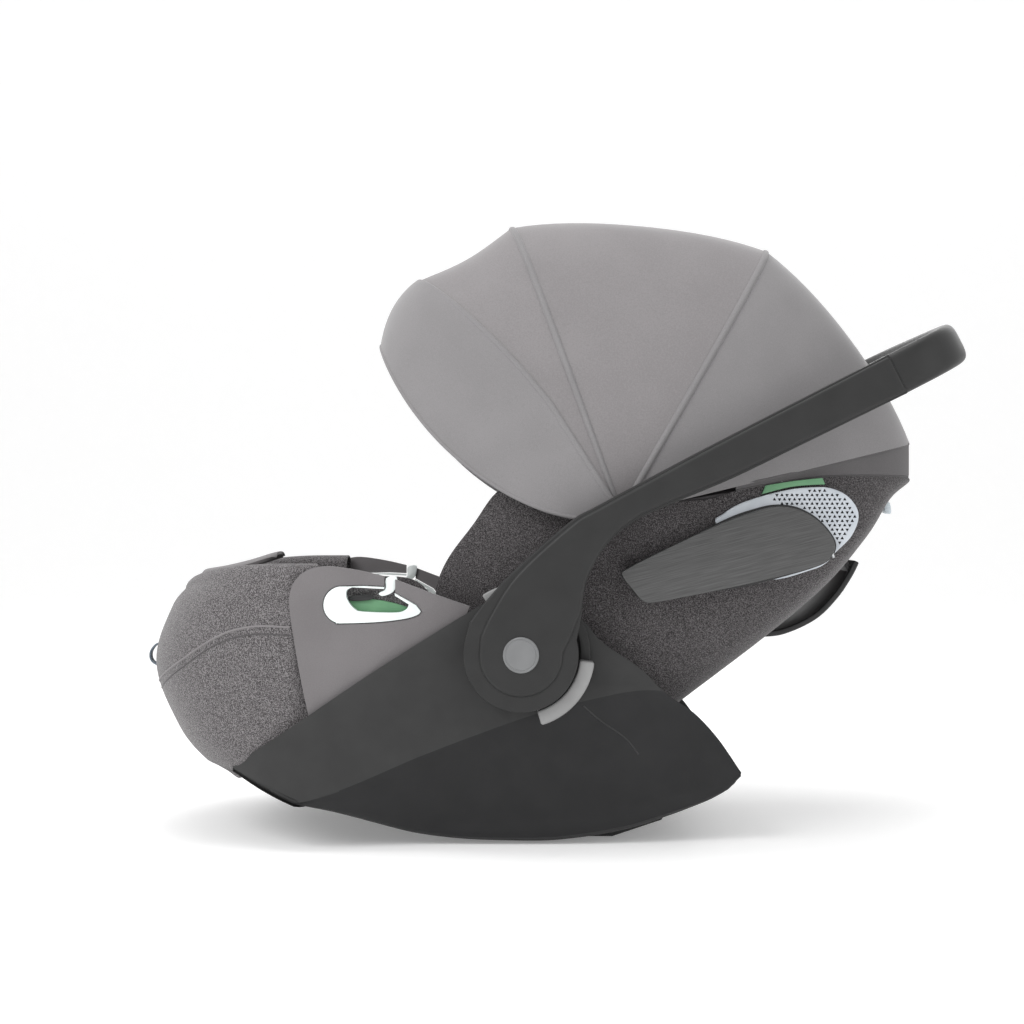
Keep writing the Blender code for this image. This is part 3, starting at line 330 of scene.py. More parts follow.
def plate(name, outlines, depth, move, material):
    curve = bpy.data.curves.new(name, "CURVE")
    curve.dimensions = "2D"
    curve.fill_mode = "BOTH"
    curve.extrude = depth / 2
    for outline in outlines:
        line = curve.splines.new("POLY")
        line.points.add(len(outline) - 1)
        for point, place in zip(line.points, outline):
            point.co = (place[0], place[1], 0, 1)
        line.use_cyclic_u = True
    return fromCurve(name, curve, material, move)


def upright(y=0.0):
    return Matrix.Translation((0, y, 0)) @ Matrix.Rotation(pi / 2, 4, "X")


def sidePlate(name, outlines, near, far, side, material):
    return plate(name, outlines, far - near, upright(side * (near + far) / 2), material)


def sidePiece(name, outlines, depths, side, material, edge, body, stands=(), sharp=40):
    return done(soften(sidePlate(name, outlines, *depths, side, material), *edge), body, stands, sharp)


def tube(name, path, radius, material, sides=3):
    curve = bpy.data.curves.new(name, "CURVE")
    curve.dimensions = "3D"
    curve.bevel_depth = radius
    curve.bevel_resolution = sides
    curve.use_fill_caps = True
    line = curve.splines.new("POLY")
    line.points.add(len(path) - 1)
    for point, place in zip(line.points, path):
        point.co = (*place, 1)
    return fromCurve(name, curve, material)


def modify(item, kind, **settings):
    modifier = item.modifiers.new(kind.lower(), kind)
    for name, value in settings.items():
        setattr(modifier, name, value)
    return item


def wall(item, thickness, offset=0.0):
    return modify(item, "SOLIDIFY", thickness=thickness, offset=offset, use_even_offset=True)


def soften(item, width, segments=3, angle=40):
    return modify(item, "BEVEL", width=width, segments=segments, limit_method="ANGLE",
                  angle_limit=radians(angle))


def subdivide(item, levels=1):
    return modify(item, "SUBSURF", levels=levels, render_levels=levels)


def cut(item, cutter, **settings):
    modify(item, "BOOLEAN", operation="DIFFERENCE", object=cutter, solver="EXACT", **settings)
    bake(item)
    bpy.data.objects.remove(cutter)
    return item


def bake(item):  # applies the modifiers
    bpy.context.view_layer.update()
    mesh = bpy.data.meshes.new_from_object(item.evaluated_get(bpy.context.evaluated_depsgraph_get()))
    item.modifiers.clear()
    item.data = mesh
    return item


def done(item, body=None, stands=(), sharp=40):
    bake(item)
    item.data.transform(Matrix.Translation((shiftX, 0, 0)) @ item.matrix_world)
    item.matrix_world = Matrix.Identity(4)
    item.data.shade_smooth()
    if sharp:
        item.data.set_sharp_from_angle(angle=radians(sharp))
    if body:
        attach(item, body)
    if stands:
        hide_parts(*stands)
    return item


def mirrored(row):
    row = list(row)
    return row + [Vector((p[0], -p[1], p[2])) for p in row[-2::-1]]


def backPoint(u, n, y=0.0):
    place = hub + u * along + n * out
    return Vector((place.x, y, place.z))


def backPairs(pairs):
    return [(backPoint(u, n).x, backPoint(u, n).z) for u, n in pairs]


sides = ((-1, "left"), (1, "right"))


# camera and light
viewpoint = {"distance": 1.90, "height": 0.2975, "lens": 68.8}
camera = bpy.data.objects.new("camera", bpy.data.cameras.new("camera"))
bpy.context.scene.collection.objects.link(camera)
camera.location = (shiftX, -viewpoint["distance"], viewpoint["height"])
camera.rotation_euler = (pi / 2, 0, 0)
camera.data.lens = viewpoint["lens"]
camera.data.sensor_width = 36
bpy.context.scene.camera = camera

studio = {"key": 30, "fill": 8, "top": 18, "rim": 8, "world": 0.75}


def softBox(name, place, target, size, watts):
    light = bpy.data.objects.new(name, bpy.data.lights.new(name, "AREA"))
    light.data.shape = "RECTANGLE"
    light.data.size, light.data.size_y = size
    light.data.energy = watts
    light.location = place
    light.rotation_euler = (Vector(target) - Vector(place)).to_track_quat("-Z", "Y").to_euler()
    bpy.context.scene.collection.objects.link(light)


softBox("keyLight", (-1.5, -1.7, 1.7), (0, 0, 0.25), (1.4, 1.2), studio["key"])
softBox("fillLight", (1.9, -1.5, 0.9), (0, 0, 0.25), (1.4, 1.4), studio["fill"])
softBox("topLight", (-0.2, 0.1, 2.4), (0, 0, 0.2), (1.6, 1.4), studio["top"])
softBox("rimLight", (0.9, 1.9, 1.3), (0, 0, 0.3), (1.4, 1.0), studio["rim"])
world = bpy.data.worlds.new("studio")
world.use_nodes = True
world.node_tree.nodes["Background"].inputs["Color"].default_value = (1, 1, 1, 1)
world.node_tree.nodes["Background"].inputs["Strength"].default_value = studio["world"]
bpy.context.scene.world = world
bpy.context.scene.view_settings.view_transform = "Standard"

paper, paperShader, paperPlace = newMaterial("pale studio paper", 0.9, {
    "Specular IOR Level": 0.1, "Emission Color": (1, 1, 1, 1), "Emission Strength": 0.2})
paint(paper, paperShader, noise(paper, paperPlace, 60.0, 2.0), (0.3, "#f4f4f4"), (0.7, "#f7f7f7"))
sweep = [(-6, 0), (4, 0)] + [(4 + 2 * sin(radians(a)), 2 - 2 * cos(radians(a))) for a in range(10, 91, 10)]
floor = gridObject("floor", [[(x, y, z - 0.0002) for y, z in sweep + [(6, 8)]] for x in (-9, 9)], paper)
floor.data.shade_smooth()
print("camera, lights and floor ready")


# hull
hull = {
    "bottom": [(-0.2495, 0.0680), (-0.1826, 0.0392), (-0.101, 0.0125), (-0.056, 0.0046), (0, 0.0022),
               (0.0434, 0.0032), (0.0976, 0.0115), (0.140, 0.0240), (0.170, 0.0345), (0.187, 0.0425),
               (0.197, 0.0495), (0.2039, 0.0610)],
    "top": [(-0.2495, 0.0715), (-0.1896, 0.1115), (-0.1344, 0.149), (-0.0808, 0.1833),
            (-0.0193, 0.2202), (0.0077, 0.230), (0.035, 0.221), (0.0624, 0.2026), (0.0773, 0.185),
            (0.1125, 0.1604), (0.134, 0.1393), (0.1620, 0.1191), (0.1855, 0.0928), (0.2039, 0.0640)],
    "crease": [(-0.2495, 0.030), (-0.1639, 0.0495), (-0.0719, 0.0872), (0.0245, 0.1222),
               (0.0771, 0.1354), (0.1122, 0.1415), (0.1367, 0.1397), (0.2039, 0.120)],
    "width": [(-0.2495, 0.152), (-0.2195, 0.177), (-0.1896, 0.1885), (-0.160, 0.190), (-0.08, 0.190),
              (0.10, 0.190), (0.137, 0.187), (0.1752, 0.176), (0.2039, 0.156)],
    "wall": 0.003, "stations": 92, "tuckSteps": 5,
}


def hullRow(x):
    top, low = spline(hull["top"], x), spline(hull["bottom"], x)
    crease = min(max(spline(hull["crease"], x), low + 0.001), top - 0.0006)
    wide = spline(hull["width"], x)
    tuck = min((crease - low) / 0.09, 1)
    foot = min(0.128, wide - 0.02)
    upper = [Vector((x, -wide, top + (crease - top) * k / 4)) for k in range(4)]
    lower = [(x, -wide, crease), (x, -wide + 0.016 * tuck, crease - 0.30 * (crease - low)),
             (x, -wide + 0.034 * tuck, crease - 0.78 * (crease - low)),
             (x, -(foot + wide) / 2 + 0.012 * tuck, low + 0.0015), (x, -foot * 0.75, low),
             (x, -foot * 0.4, low), (x, 0, low)]
    return mirrored(upper + smoothPath(lower, hull["tuckSteps"]))


span = hull["top"][-1][0] - hull["top"][0][0]
hullRows = [hullRow(hull["top"][0][0] + span * k / hull["stations"]) for k in range(hull["stations"] + 1)]
hullPiece = gridObject("hull", hullRows, hullAbs)
hullPiece.data.materials.append(hullShadeAbs)
# faces below the crease take the darker copy: painted shade on the tucked-in lower half
for face in hullPiece.data.polygons:
    middle = face.center
    face.material_index = int(middle.z < spline(hull["crease"], middle.x) - 0.0005)
hullPiece = soften(wall(hullPiece, hull["wall"], -1), 0.0009, 2, 50)
done(hullPiece, "base", ["base_shell"], 28)


def hullSide(x, z):  # how far out the hull's wall is at a place below its top edge
    row = hullRow(x)
    for upper, lower in zip(row, row[1:]):
        if upper.z >= z >= lower.z:
            return upper.y + (lower.y - upper.y) * (upper.z - z) / max(upper.z - lower.z, 0.00001)
    return row[0].y


seam = smoothPath([(0.0624, 0.1280), (0.078, 0.114), (0.100, 0.098), (0.112, 0.083)], 5)
for side, word in sides:
    line = [Vector((x, -side * (hullSide(x, z) + 0.00055), z)) for x, z in seam]
    done(tube(word + "HullSeam", line, 0.0010, blackAbs), "base")
for _, word in sides:
    nodes[word + "_rocker_rail"].data.materials[0] = blackAbs
    for name in ("_hub_spindle", "_trunnion", "_flap_pin"):
        nodes[word + name].data.materials[0] = steel
for name in ("front_lock_bar", "rear_lock_bar"):
    nodes[name].data.materials[0] = steel
print("hull ready")

# lap panels and belt guides
panel = {"edge": 0.0022, "guideFlare": 0.0012}


def windowPath():
    path = [(-0.1121, 0.2325), (-0.130, 0.2334), (-0.1440, 0.2330)]
    path += arc((-0.1490, 0.2160), 0.0172, 100, 262, 14)
    return path + [(-0.120, 0.2000), (-0.0950, 0.2028), (-0.0825, 0.2065), (-0.0790, 0.2105),
                   (-0.0835, 0.2165), (-0.1025, 0.2270)]


guideWindow = [(-0.1121, 0.2300), (-0.1400, 0.2315), (-0.1450, 0.2285), (-0.1445, 0.2210), (-0.1380, 0.2125),
               (-0.1300, 0.2100), (-0.1020, 0.2092), (-0.0930, 0.2120), (-0.0905, 0.2165), (-0.1025, 0.2240)]
panelTop = [(-0.1847, 0.2435), (-0.1755, 0.2480), (-0.1605, 0.2499), (-0.135, 0.2464), (-0.1121, 0.2412)]
panelRear = [(-0.1025, 0.2384), (-0.0723, 0.227), (-0.037, 0.2146)]
panelLow = [(x, spline(hull["top"], x) - 0.012) for x in (-0.046, -0.0808, -0.1076, -0.1344, -0.160)]
panelFront = [(-0.1735, 0.1000), (-0.1820, 0.1340), (-0.1900, 0.1770), (-0.1953, 0.2130), (-0.1945, 0.2280),
              (-0.1905, 0.2375)]
opening = windowPath()
ring = smoothPath(opening[16:22], 4)
openingFine = opening[:16] + ring[:-1] + opening[21:]
windowFine = [Vector(guideWindow[0])] + smoothPath(guideWindow[1:9], 4) + [Vector(guideWindow[9])]
panelOutline = smoothPath(panelTop, 4) + openingFine + smoothPath(panelRear, 3)
panelOutline += panelLow + smoothPath(panelFront, 3)
wedge = [(-0.1445, 0.2085), (-0.1005, 0.2075), (-0.0915, 0.2105), (-0.0935, 0.2140), (-0.1090, 0.2185),
         (-0.1230, 0.2205), (-0.1400, 0.2215)]
tooth = [(-0.1108, 0.2392), (-0.1014, 0.2408), (-0.1020, 0.2314), (-0.1060, 0.2262), (-0.1138, 0.2237),
         (-0.1171, 0.2262), (-0.1110, 0.2300)]
latch = [(-0.1410, 0.2235), (-0.1250, 0.2250), (-0.1215, 0.2225), (-0.1250, 0.2200), (-0.1400, 0.2190),
         (-0.1440, 0.2210)]
guideParts = [
    ("BeltWedge", wedge, (panelInside - 0.0085, panelInside - 0.0035), greenAbs, 0.0012, "green_mark"),
    ("BeltTooth", tooth, (panelInside - 0.0030, panelOutside - 0.0020), whiteAbs, 0.0009, "white_plastic"),
    ("BeltLatch", latch, (panelInside - 0.0033, panelInside - 0.0005), blackAbs, 0.0008, "black_plastic"),
]
for side, word in sides:
    sidePiece(word + "LapPanel", [panelOutline], (panelInside, panelOutside), side, plainCloth,
              (panel["edge"], 4, 30), "base", [word + "_side_panel"])
    sidePiece(word + "BeltGuide", [inset(openingFine, 0.0009) + windowFine[::-1]],
              (panelInside - 0.003, panelOutside + panel["guideFlare"]), side, whiteAbs,
              (0.0011, 3, 30), "base", [word + "_belt_guide"])
    for name, outline, depths, material, edge, slot in guideParts:
        sidePiece(word + name, [smoothPath(outline, 3, True)], depths, side, material,
                  (edge, 2, 30), "base")
print("lap panels ready")

# foot end
foot = {
    "nose": [(0.066, -0.2720), (0.0713, -0.2884), (0.1004, -0.3126), (0.1587, -0.3340), (0.2121, -0.3175),
             (0.2295, -0.3020), (0.2420, -0.2850)],
    "width": [(0.066, 0.166), (0.10, 0.176), (0.16, 0.183), (0.21, 0.181), (0.25, 0.176)],
    "joint": -0.1945, "around": 40, "levels": 34, "thickness": 0.004,
    "seam": [(0, 0.1964), (0.115, 0.1971), (0.256, 0.1899), (0.49, 0.1634), (0.75, 0.1440), (1, 0.1360)],
    # the second radius is for the dark cord under the piping, a painted shadow line
    "piping": 0.0010, "shadowCord": 0.0007, "behindPanel": ((0.024, -0.1740), (0.009, -0.1755)),
}


def footLow(a):  # lower edge: tucked behind the hull's lip at the sides, bare under the nose
    reach = sin(a * pi / 2) ** 0.85
    x = foot["joint"] + (-0.2790 - foot["joint"]) * reach
    tucked = spline(hull["top"], max(x, -0.2480)) - 0.014
    share = min(max((reach - 0.62) / 0.3, 0), 1)
    return tucked + (0.0665 - tucked) * share * share * (3 - 2 * share)


def footRim(a):
    return 0.2415 - 0.0215 * a**2


def footPoint(a, level):
    low = footLow(a)
    z = low + (footRim(a) - low) * level
    x = foot["joint"] + (spline(foot["nose"], z) - foot["joint"]) * sin(a * pi / 2) ** 0.85
    return Vector((x, -spline(foot["width"], z) * max(cos(a * pi / 2), 0) ** 0.62, z))


def footLevel(a, z):
    return (z - footLow(a)) / (footRim(a) - footLow(a))


def around(k, count):  # closer together where the corner turns
    return 1 - cos(k / count * pi / 2)


def rolled(a, end):  # from the rim the padded edge rolls over and runs down inside
    rim = footPoint(a, 1.0)
    rim.y = 0 if end else rim.y
    inward = Vector((-0.215 - rim.x, -rim.y * 0.8, 0)).normalized()
    points = [rim + inward * 0.010 * (1 - cos(radians(d))) + Vector((0, 0, 0.0095 * sin(radians(d))))
              for d in range(20, 181, 20)]
    return points + [points[-1] + inward * 0.002 * k + Vector((0, 0, -0.013 * k)) for k in (1, 2, 3)]


footRows = []
columns = [around(k, foot["around"]) for k in range(foot["around"])] + [1]
for j in range(foot["levels"] + 1):
    row = [footPoint(a, j / foot["levels"]) for a in columns]
    row[-1].y = 0
    behind = [Vector((row[0].x + reach, y, row[0].z)) for reach, y in foot["behindPanel"]]
    footRows.append(mirrored(behind + row))
for row in zip(*(rolled(a, a == 1) for a in columns)):
    behind = [Vector((row[0].x + reach, max(row[0].y, y), row[0].z)) for reach, y in foot["behindPanel"]]
    footRows.append(mirrored(behind + list(row)))
cover = wall(gridObject("footCover", footRows, heather), foot["thickness"] / 2, 0)
footCover = done(soften(cover, 0.0008, 2, 60), "base", ["foot_cover"], 0)


def footSeam(offset, lift):
    line = []
    for k in range(61):
        a = around(min(k, 60 - k) * 2, 60) if k != 30 else 1
        z = spline(foot["seam"], a) + offset
        p = footPoint(a, footLevel(a, z))
        y = p.y if k <= 30 else -p.y
        outward = Vector((p.x + 0.10, y, 0)).normalized()
        line.append(Vector((p.x, 0 if k == 30 else y, p.z)) + outward * lift)
    return line


# the dark cord 7 mm below the piping, in the lining colour, is a painted shadow line along the seam
for name, offset, radius, material in (("footPiping", 0.0, foot["piping"], pipingCloth),
                                       ("footShadowCord", -0.007, foot["shadowCord"], liningCloth)):
    done(tube(name, footSeam(offset, foot["thickness"] / 4), radius, material), "base")
tongue = {"width": 0.055, "thickness": 0.0028,
          "line": [(-0.2925, 0.2418), (-0.2740, 0.2450), (-0.2500, 0.2508), (-0.2300, 0.2570),
                   (-0.2255, 0.2578)]}
tongueLine = smoothPath(tongue["line"], 6)
tongueRows = []
for k, p in enumerate(tongueLine):
    f = k / (len(tongueLine) - 1)
    half = tongue["width"] * (1 - 0.35 * max(f - 0.6, 0) ** 1.5 / 0.25)
    tongueRows.append([Vector((p.x, half * m / 8, p.y - 0.004 * (m / 8) ** 4)) for m in range(-8, 9)])
flap = soften(wall(gridObject("footTongue", tongueRows, plainCloth), tongue["thickness"], 0), 0.0009, 3)
done(flap, "base", ["foot_flap"])
loopLine = smoothPath([(-0.3372, 0.1500), (-0.3440, 0.1500), (-0.3495, 0.1545), (-0.3500, 0.1620),
                       (-0.3450, 0.1690), (-0.3375, 0.1720)], 5)
loop = plate("footLoop", [strip(loopLine, 0.0014)], 0.012, upright(), ribbonCloth)
done(soften(loop, 0.0003, 1), "base", ["foot_pull_loop"])
print("foot end ready")

# inner tub
tub = {
    "floor": [(-0.316, 0.168), (-0.300, 0.128), (-0.27, 0.099), (-0.22, 0.079), (-0.16, 0.0625),
              (-0.09, 0.0525), (-0.055, 0.0506)],
    "top": [(-0.316, 0.196), (-0.29, 0.214), (-0.24, 0.224), (-0.19, 0.2310), (-0.14, 0.2300), (-0.1, 0.2240),
            (-0.075, 0.196), (-0.055, 0.168)],
    "width": [(-0.316, 0.070), (-0.300, 0.112), (-0.27, 0.140), (-0.22, 0.162), (-0.19, 0.169),
              (-0.1, 0.172), (-0.055, 0.172)],
}
tubRows = []
for k in range(53):
    x = -0.316 + 0.261 * k / 52
    low, high, wide = (spline(tub[key], x) for key in ("floor", "top", "width"))
    rise = high - low
    section = [(x, -wide, high), (x, -wide, low + 0.6 * rise), (x, -wide + 0.006, low + 0.3 * rise),
               (x, -wide * 0.9, low + 0.09 * rise), (x, -wide * 0.74, low), (x, -wide * 0.4, low),
               (x, 0, low)]
    tubRows.append(mirrored(smoothPath(section, 5)))
tubPiece = wall(gridObject("innerTub", tubRows, heather), 0.0035, -1)
done(soften(tubPiece, 0.001, 2, 50), "base", ["seat_liner"], 35)


# pads: swollen by cloth pressure, then seams pressed in
pads = {"voxel": 0.005, "pressure": 4.0, "frames": 20, "cap": 0.006}


def puff(item, cap):
    modify(item, "REMESH", mode="VOXEL", voxel_size=pads["voxel"])
    bake(item)
    rest = [v.co.copy() for v in item.data.vertices]
    cloth = item.modifiers.new("swell", "CLOTH")
    cloth.settings.use_pressure = True
    cloth.settings.uniform_pressure_force = pads["pressure"]
    cloth.settings.effector_weights.gravity = 0
    cloth.settings.quality = 4
    cloth.collision_settings.use_collision = False
    cloth.point_cache.frame_end = pads["frames"]
    for frameNumber in range(1, pads["frames"] + 1):
        bpy.context.scene.frame_set(frameNumber)
    bake(item)
    bpy.context.scene.frame_set(1)
    for v, start in zip(item.data.vertices, rest):
        move = v.co - start
        if move.length > cap:
            v.co = start + move.normalized() * cap
    for k in range(2):
        modify(item, "SMOOTH", factor=0.5, iterations=3)
        bake(item)
    return item


def press(item, groove, width, depth):  # a sewn channel: groove gives distance and direction for a point
    for v in item.data.vertices:
        distance, inward = groove(v.co)
        if distance < width:
            v.co += inward * depth * (0.5 + 0.5 * cos(pi * distance / width))
    return item


def stripPad(name, path, thickness, width, cap, material, seams, normalOf, shrink=0.003):
    block = plate(name, [strip(path, thickness - shrink)], width - shrink * 2, upright(), material)
    puff(block, cap)
    subdivide(block)
    bake(block)
    press(block, lambda p: (min(abs(seamDistance(p, s)) for s in seams), normalOf(p)), 0.006, 0.0028)
    return block


def seamDistance(p, seam):
    kind, value = seam
    places = {"side": abs(p.y), "back": (p - hub).dot(along), "x": p.x}
    return places[kind] - value


noPress = Vector((0, 0, 0))
legXs = (-0.297, -0.285, -0.27, -0.245, -0.22, -0.19, -0.16, -0.125, -0.085)
legLine = smoothPath(inset([(x, spline(tub["floor"], x)) for x in legXs], 0.0175), 3)
legPad = stripPad("legCushion", legLine, 0.020, 0.150, 0.005, heather,
                  [("side", 0.052), ("x", -0.235), ("x", -0.135)],
                  lambda p: Vector((0, 0, -1)) if p.z > spline(tub["floor"], p.x) + 0.0175 else noPress)
done(legPad, "base", ["leg_pad"], 0)
back = {
    "line": [(0.0, -0.124), (0.10, -0.1208), (0.20, -0.1165), (0.2656, -0.1090), (0.3208, -0.0930),
             (0.3534, -0.0805), (0.379, -0.0800)],
    "width": [(-0.110, 0.0), (0.0, 0.0), (0.0644, 0.62), (0.12, 0.97), (0.25, 1.0), (0.30, 0.97),
              (0.345, 0.78), (0.379, 0.30)],
    "half": 0.1775, "seatHalf": 0.157, "thickness": 0.0020, "stations": 74, "grow": 0.0024,
    "start": -0.0312, "end": 0.379, "pan": 0.124, "shell": 0.003, "skin": 0.0035, "pad": 0.018,
    "padLift": 0.0155,
}
backRadius = back["pan"] - back["shell"] - back["skin"] - back["pad"] / 2
backLine = arc((0, 0), backRadius, -145, -90, 10)
backLine += [(u, spline(back["line"], u) + back["padLift"])
             for u in (0.0, 0.03, 0.06, 0.09, 0.12, 0.15, 0.18, 0.215, 0.25)]
backPad = stripPad("backCushion", backPairs(backLine), back["pad"], 0.205, 0.005, heather,
                   [("side", 0.070), ("back", 0.045), ("back", 0.115)],
                   lambda p: -out if (p - hub).dot(out) > -backRadius + 0.005 else noPress)
done(backPad, "backrest", ["back_pad"], 0)
print("cushions ready")

# harness
size = Vector((0.050, 0.044, 0.016)) / 2
buckleTurn = Matrix.Rotation(-backAngle + radians(14), 4, "Y")
buckleFrame = Matrix.Translation(backPoint(-0.012, -0.0790)) @ buckleTurn


def framedBlock(name, low, high, material, round_):
    bm = bmesh.new()
    bmesh.ops.create_cube(bm, size=1)
    bmesh.ops.scale(bm, vec=Vector(high) - Vector(low), verts=bm.verts)
    bmesh.ops.translate(bm, vec=(Vector(low) + Vector(high)) / 2, verts=bm.verts)
    bmesh.ops.transform(bm, matrix=buckleFrame, verts=bm.verts)
    return soften(cleanObject(name, bm, material), round_, 4)


body = framedBlock("buckleBody", -size, size, blackAbs, 0.0045)
well = framedBlock("buckleWell", (-0.0135, -0.0115, size.z - 0.0065), (0.0135, 0.0115, 0.02),
                   blackAbs, 0.0015)
done(soften(cut(bake(body), well), 0.0004, 2, 60), "backrest", ["buckle"])
button = framedBlock("buckleKey", (-0.0128, -0.0108, size.z - 0.0028), (0.0128, 0.0108, size.z + 0.0006),
                     redAbs, 0.0012)
done(button, "buckle_key", ["buckle_button"])
padTop = back["pan"] - back["shell"] - back["skin"] - back["pad"]
crotch = []
for k in range(4):
    angle, rise = radians(-136 + 10 * k), padTop - 0.0032 - 0.0025 * k
    crotch.append((rise * cos(angle), rise * sin(angle)))
crotchLine = smoothPath(backPairs(crotch), 4)
crotchPiece = plate("crotchStrap", [strip(crotchLine, 0.0016)], 0.030, upright(), strapCloth)
done(soften(crotchPiece, 0.0004, 1), "backrest", ["crotch_strap"])
strapLine = smoothPath(backPairs([(0.026, -0.0770), (0.050, -0.0845), (0.080, -0.0900), (0.125, -0.0900),
                                  (0.148, -0.0890)]), 5)
padLine = smoothPath(backPairs([(0.052, -0.0808), (0.080, -0.0858), (0.105, -0.0858), (0.128, -0.0853)]), 5)
for side, word in sides:
    strap = plate(word + "ShoulderStrap", [strip(strapLine, 0.0016)], 0.0304, upright(side * 0.037),
                  strapCloth)
    done(soften(strap, 0.0004, 1), None, [word + "_shoulder_strap"])
    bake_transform(strap)
    pad = plate(word + "ShoulderPad", [strip(padLine, 0.0075)], 0.050, upright(side * 0.037), heather)
    subdivide(soften(pad, 0.0030, 4, 30))
    done(pad, "headrest", [word + "_shoulder_pad"], 0)
nodes["adjuster_button"].data.materials[0] = greyAbs
print("harness ready")

# headrest
middleHead = backPoint(0.2025, 0)
headFrame = Matrix(((0, out.x, along.x, middleHead.x), (1, 0, 0, 0),
                    (0, out.z, along.z, middleHead.z), (0, 0, 0, 1)))


def wings(grow):
    path = [(-0.122 - grow, -0.023), (-0.122 - grow, -0.063)]
    path += arc((-0.102, -0.065), 0.020 + grow, 180, 270, 8)[1:]
    path += [(x, -0.085 - grow) for x in (-0.05, 0, 0.05)]
    return path + arc((0.102, -0.065), 0.020 + grow, 270, 360, 8) + [(0.122 + grow, -0.023)]


headShell = plate("headrestShell", [strip(wings(0), 0.003)], 0.092, headFrame, greyAbs)
done(soften(headShell, 0.0011, 3), "headrest", ["headrest_shell"])
headPad = plate("headrestCushion", [strip(wings(-0.0125), 0.0150)], 0.088, headFrame, heather)
subdivide(puff(headPad, 0.004))
bake(headPad)
press(headPad, lambda p: (abs(abs(p.y) - 0.055), -out if (p - middleHead).dot(out) > -0.08 else noPress),
      0.006, 0.0028)
done(headPad, "headrest", ["headrest_pad"], 0)
print("headrest ready")

# backrest cover
rimPlaces = [(-0.0503, 0.0690), (-0.0611, 0.151), (-0.068, 0.2285), (-0.0300, 0.293), (-0.0100, 0.318),
             (0.012, 0.3230), (0.06, 0.3165), (0.12, 0.3085), (0.1692, 0.3083), (0.1983, 0.3165),
             (0.2225, 0.3215), (0.2725, 0.3285), (0.3112, 0.3300), (0.3620, 0.3300)]
rimLineBack = [((x - hub.x) * along.x + (z - hub.z) * along.z, (x - hub.x) * out.x + (z - hub.z) * out.z)
               for x, z in rimPlaces]


def backRow(u, grow, steps=5):
    rim = spline(rimLineBack, u)
    depth = (-sqrt(back["pan"]**2 - u**2) if u < 0 else spline(back["line"], u)) - grow
    wide = back["seatHalf"] + (back["half"] - back["seatHalf"]) * max(spline(back["width"], u), 0) + grow
    if u > 0.25:
        wide = back["half"] * (0.42 + 0.58 * sqrt(max(1 - ((u - 0.25) / 0.137) ** 2, 0))) + grow
    low = min(wide, 0.166 + grow)
    section = [(wide, 1.0), (wide, 0.72), ((wide + low) / 2 - 0.002, 0.42), (low - 0.008, 0.18),
               (low * 0.87, 0.055), (low * 0.72, 0.0), (low * 0.36, 0.0), (0, 0.0)]
    return smoothPath([backPoint(u, depth + (rim - depth) * f, -y) for y, f in section], steps)


def backStation(k):  # closer together at the head end
    f = k / back["stations"]
    if f >= 0.8:
        f = 0.8 + 0.2 * sin((f - 0.8) / 0.2 * pi / 2)
    return back["start"] + (back["end"] - back["start"]) * f


coverRows = [mirrored(backRow(backStation(k), back["grow"])) for k in range(back["stations"] + 1)]
backCover = wall(gridObject("backCover", coverRows, heatherBack), back["thickness"], -1)
bm = bmesh.new()
bmesh.ops.create_cone(bm, cap_ends=True, segments=32, radius1=0.0125, radius2=0.0125, depth=0.6,
                      matrix=Matrix.Translation(hub) @ Matrix.Rotation(pi / 2, 4, "X"))
cut(backCover, cleanObject("hubHole", bm, heatherBack))
done(soften(backCover, 0.0008, 2, 60), "backrest", ["backrest_cover"], 50)
nodes["backrest_shell"].data.materials[0] = liningCloth
print("backrest cover ready")


# canopy band
band = {"angle": radians(13.5), "lift": 0.0008, "least": 0.0044, "start": 0.236, "stations": 60}
bandRows = []
for k in range(band["stations"] + 1):
    f = k / band["stations"]
    rim = backRow(band["start"] + (back["end"] - band["start"]) * sin(f * pi / 2), back["grow"], 1)[0]
    rise = canopyPivot.z + (rim.x - canopyPivot.x) * tan(band["angle"]) - rim.z
    height = max(rise, band["least"]) - band["lift"]
    bandRows.append([rim + Vector((0, 0, band["lift"] + height * j / 8)) for j in range(8, -1, -1)])
last = bandRows[-1]
for share, push in ((0.85, 0.0012), (0.7, 0.0022), (0.5, 0.0030), (0.3, 0.0036), (0.15, 0.0039), (0, 0.0040)):
    bandRows.append([Vector((p.x + push, p.y * share, p.z)) for p in last])
bandRows += [[Vector((p.x, -p.y, p.z)) for p in row] for row in bandRows[-2::-1]]
bandPiece = wall(gridObject("canopyBand", bandRows, bandCloth), 0.0020, 0)
done(soften(bandPiece, 0.0007, 2, 50), "backrest", ["canopy_band"], 60)
hem = [row[0] + Vector((0, 0, 0.0002)) for row in bandRows]
done(tube("bandHem", hem, 0.0015, bandCloth), "backrest")
foldLine = [row[-1] + Vector((0, (0.0008 if row[-1].y > 0 else -0.0008), -0.0008)) for row in bandRows]
done(tube("bandSeam", foldLine, 0.0007, liningCloth), "backrest")

# canopy
canopy = {"radius": 0.283, "front": radians(130.2), "middle": radians(109.7), "rear": radians(60.0),
          "frontHalf": 0.1945, "middleHalf": 0.1889, "rearHalf": 0.1833, "across": 96, "thickness": 0.0014,
          "sag": 0.030, "middleSag": 0.045, "lean": radians(13), "first": 0.004, "visorFirst": 0.006,
          "hoopFirst": 0.002, "piping": 0.0031, "hem": 0.0019}


def archPoint(theta, t, radius, half):
    r = radius * sin(t) ** 0.55
    y = -half * (1 if cos(t) >= 0 else -1) * abs(cos(t)) ** 0.42
    return Vector((canopyPivot.x + r * cos(theta), y, canopyPivot.z + r * sin(theta)))


def archStep(k, first):  # closer together near the pivots
    f = k / canopy["across"]
    return first + (pi - 2 * first) * (f - 0.13 * sin(2 * pi * f))


def frontTheta(t):  # the front seam leans back a little towards its ends
    return canopy["front"] - canopy["lean"] * min(1 - sin(t) ** 0.55, 0.6)


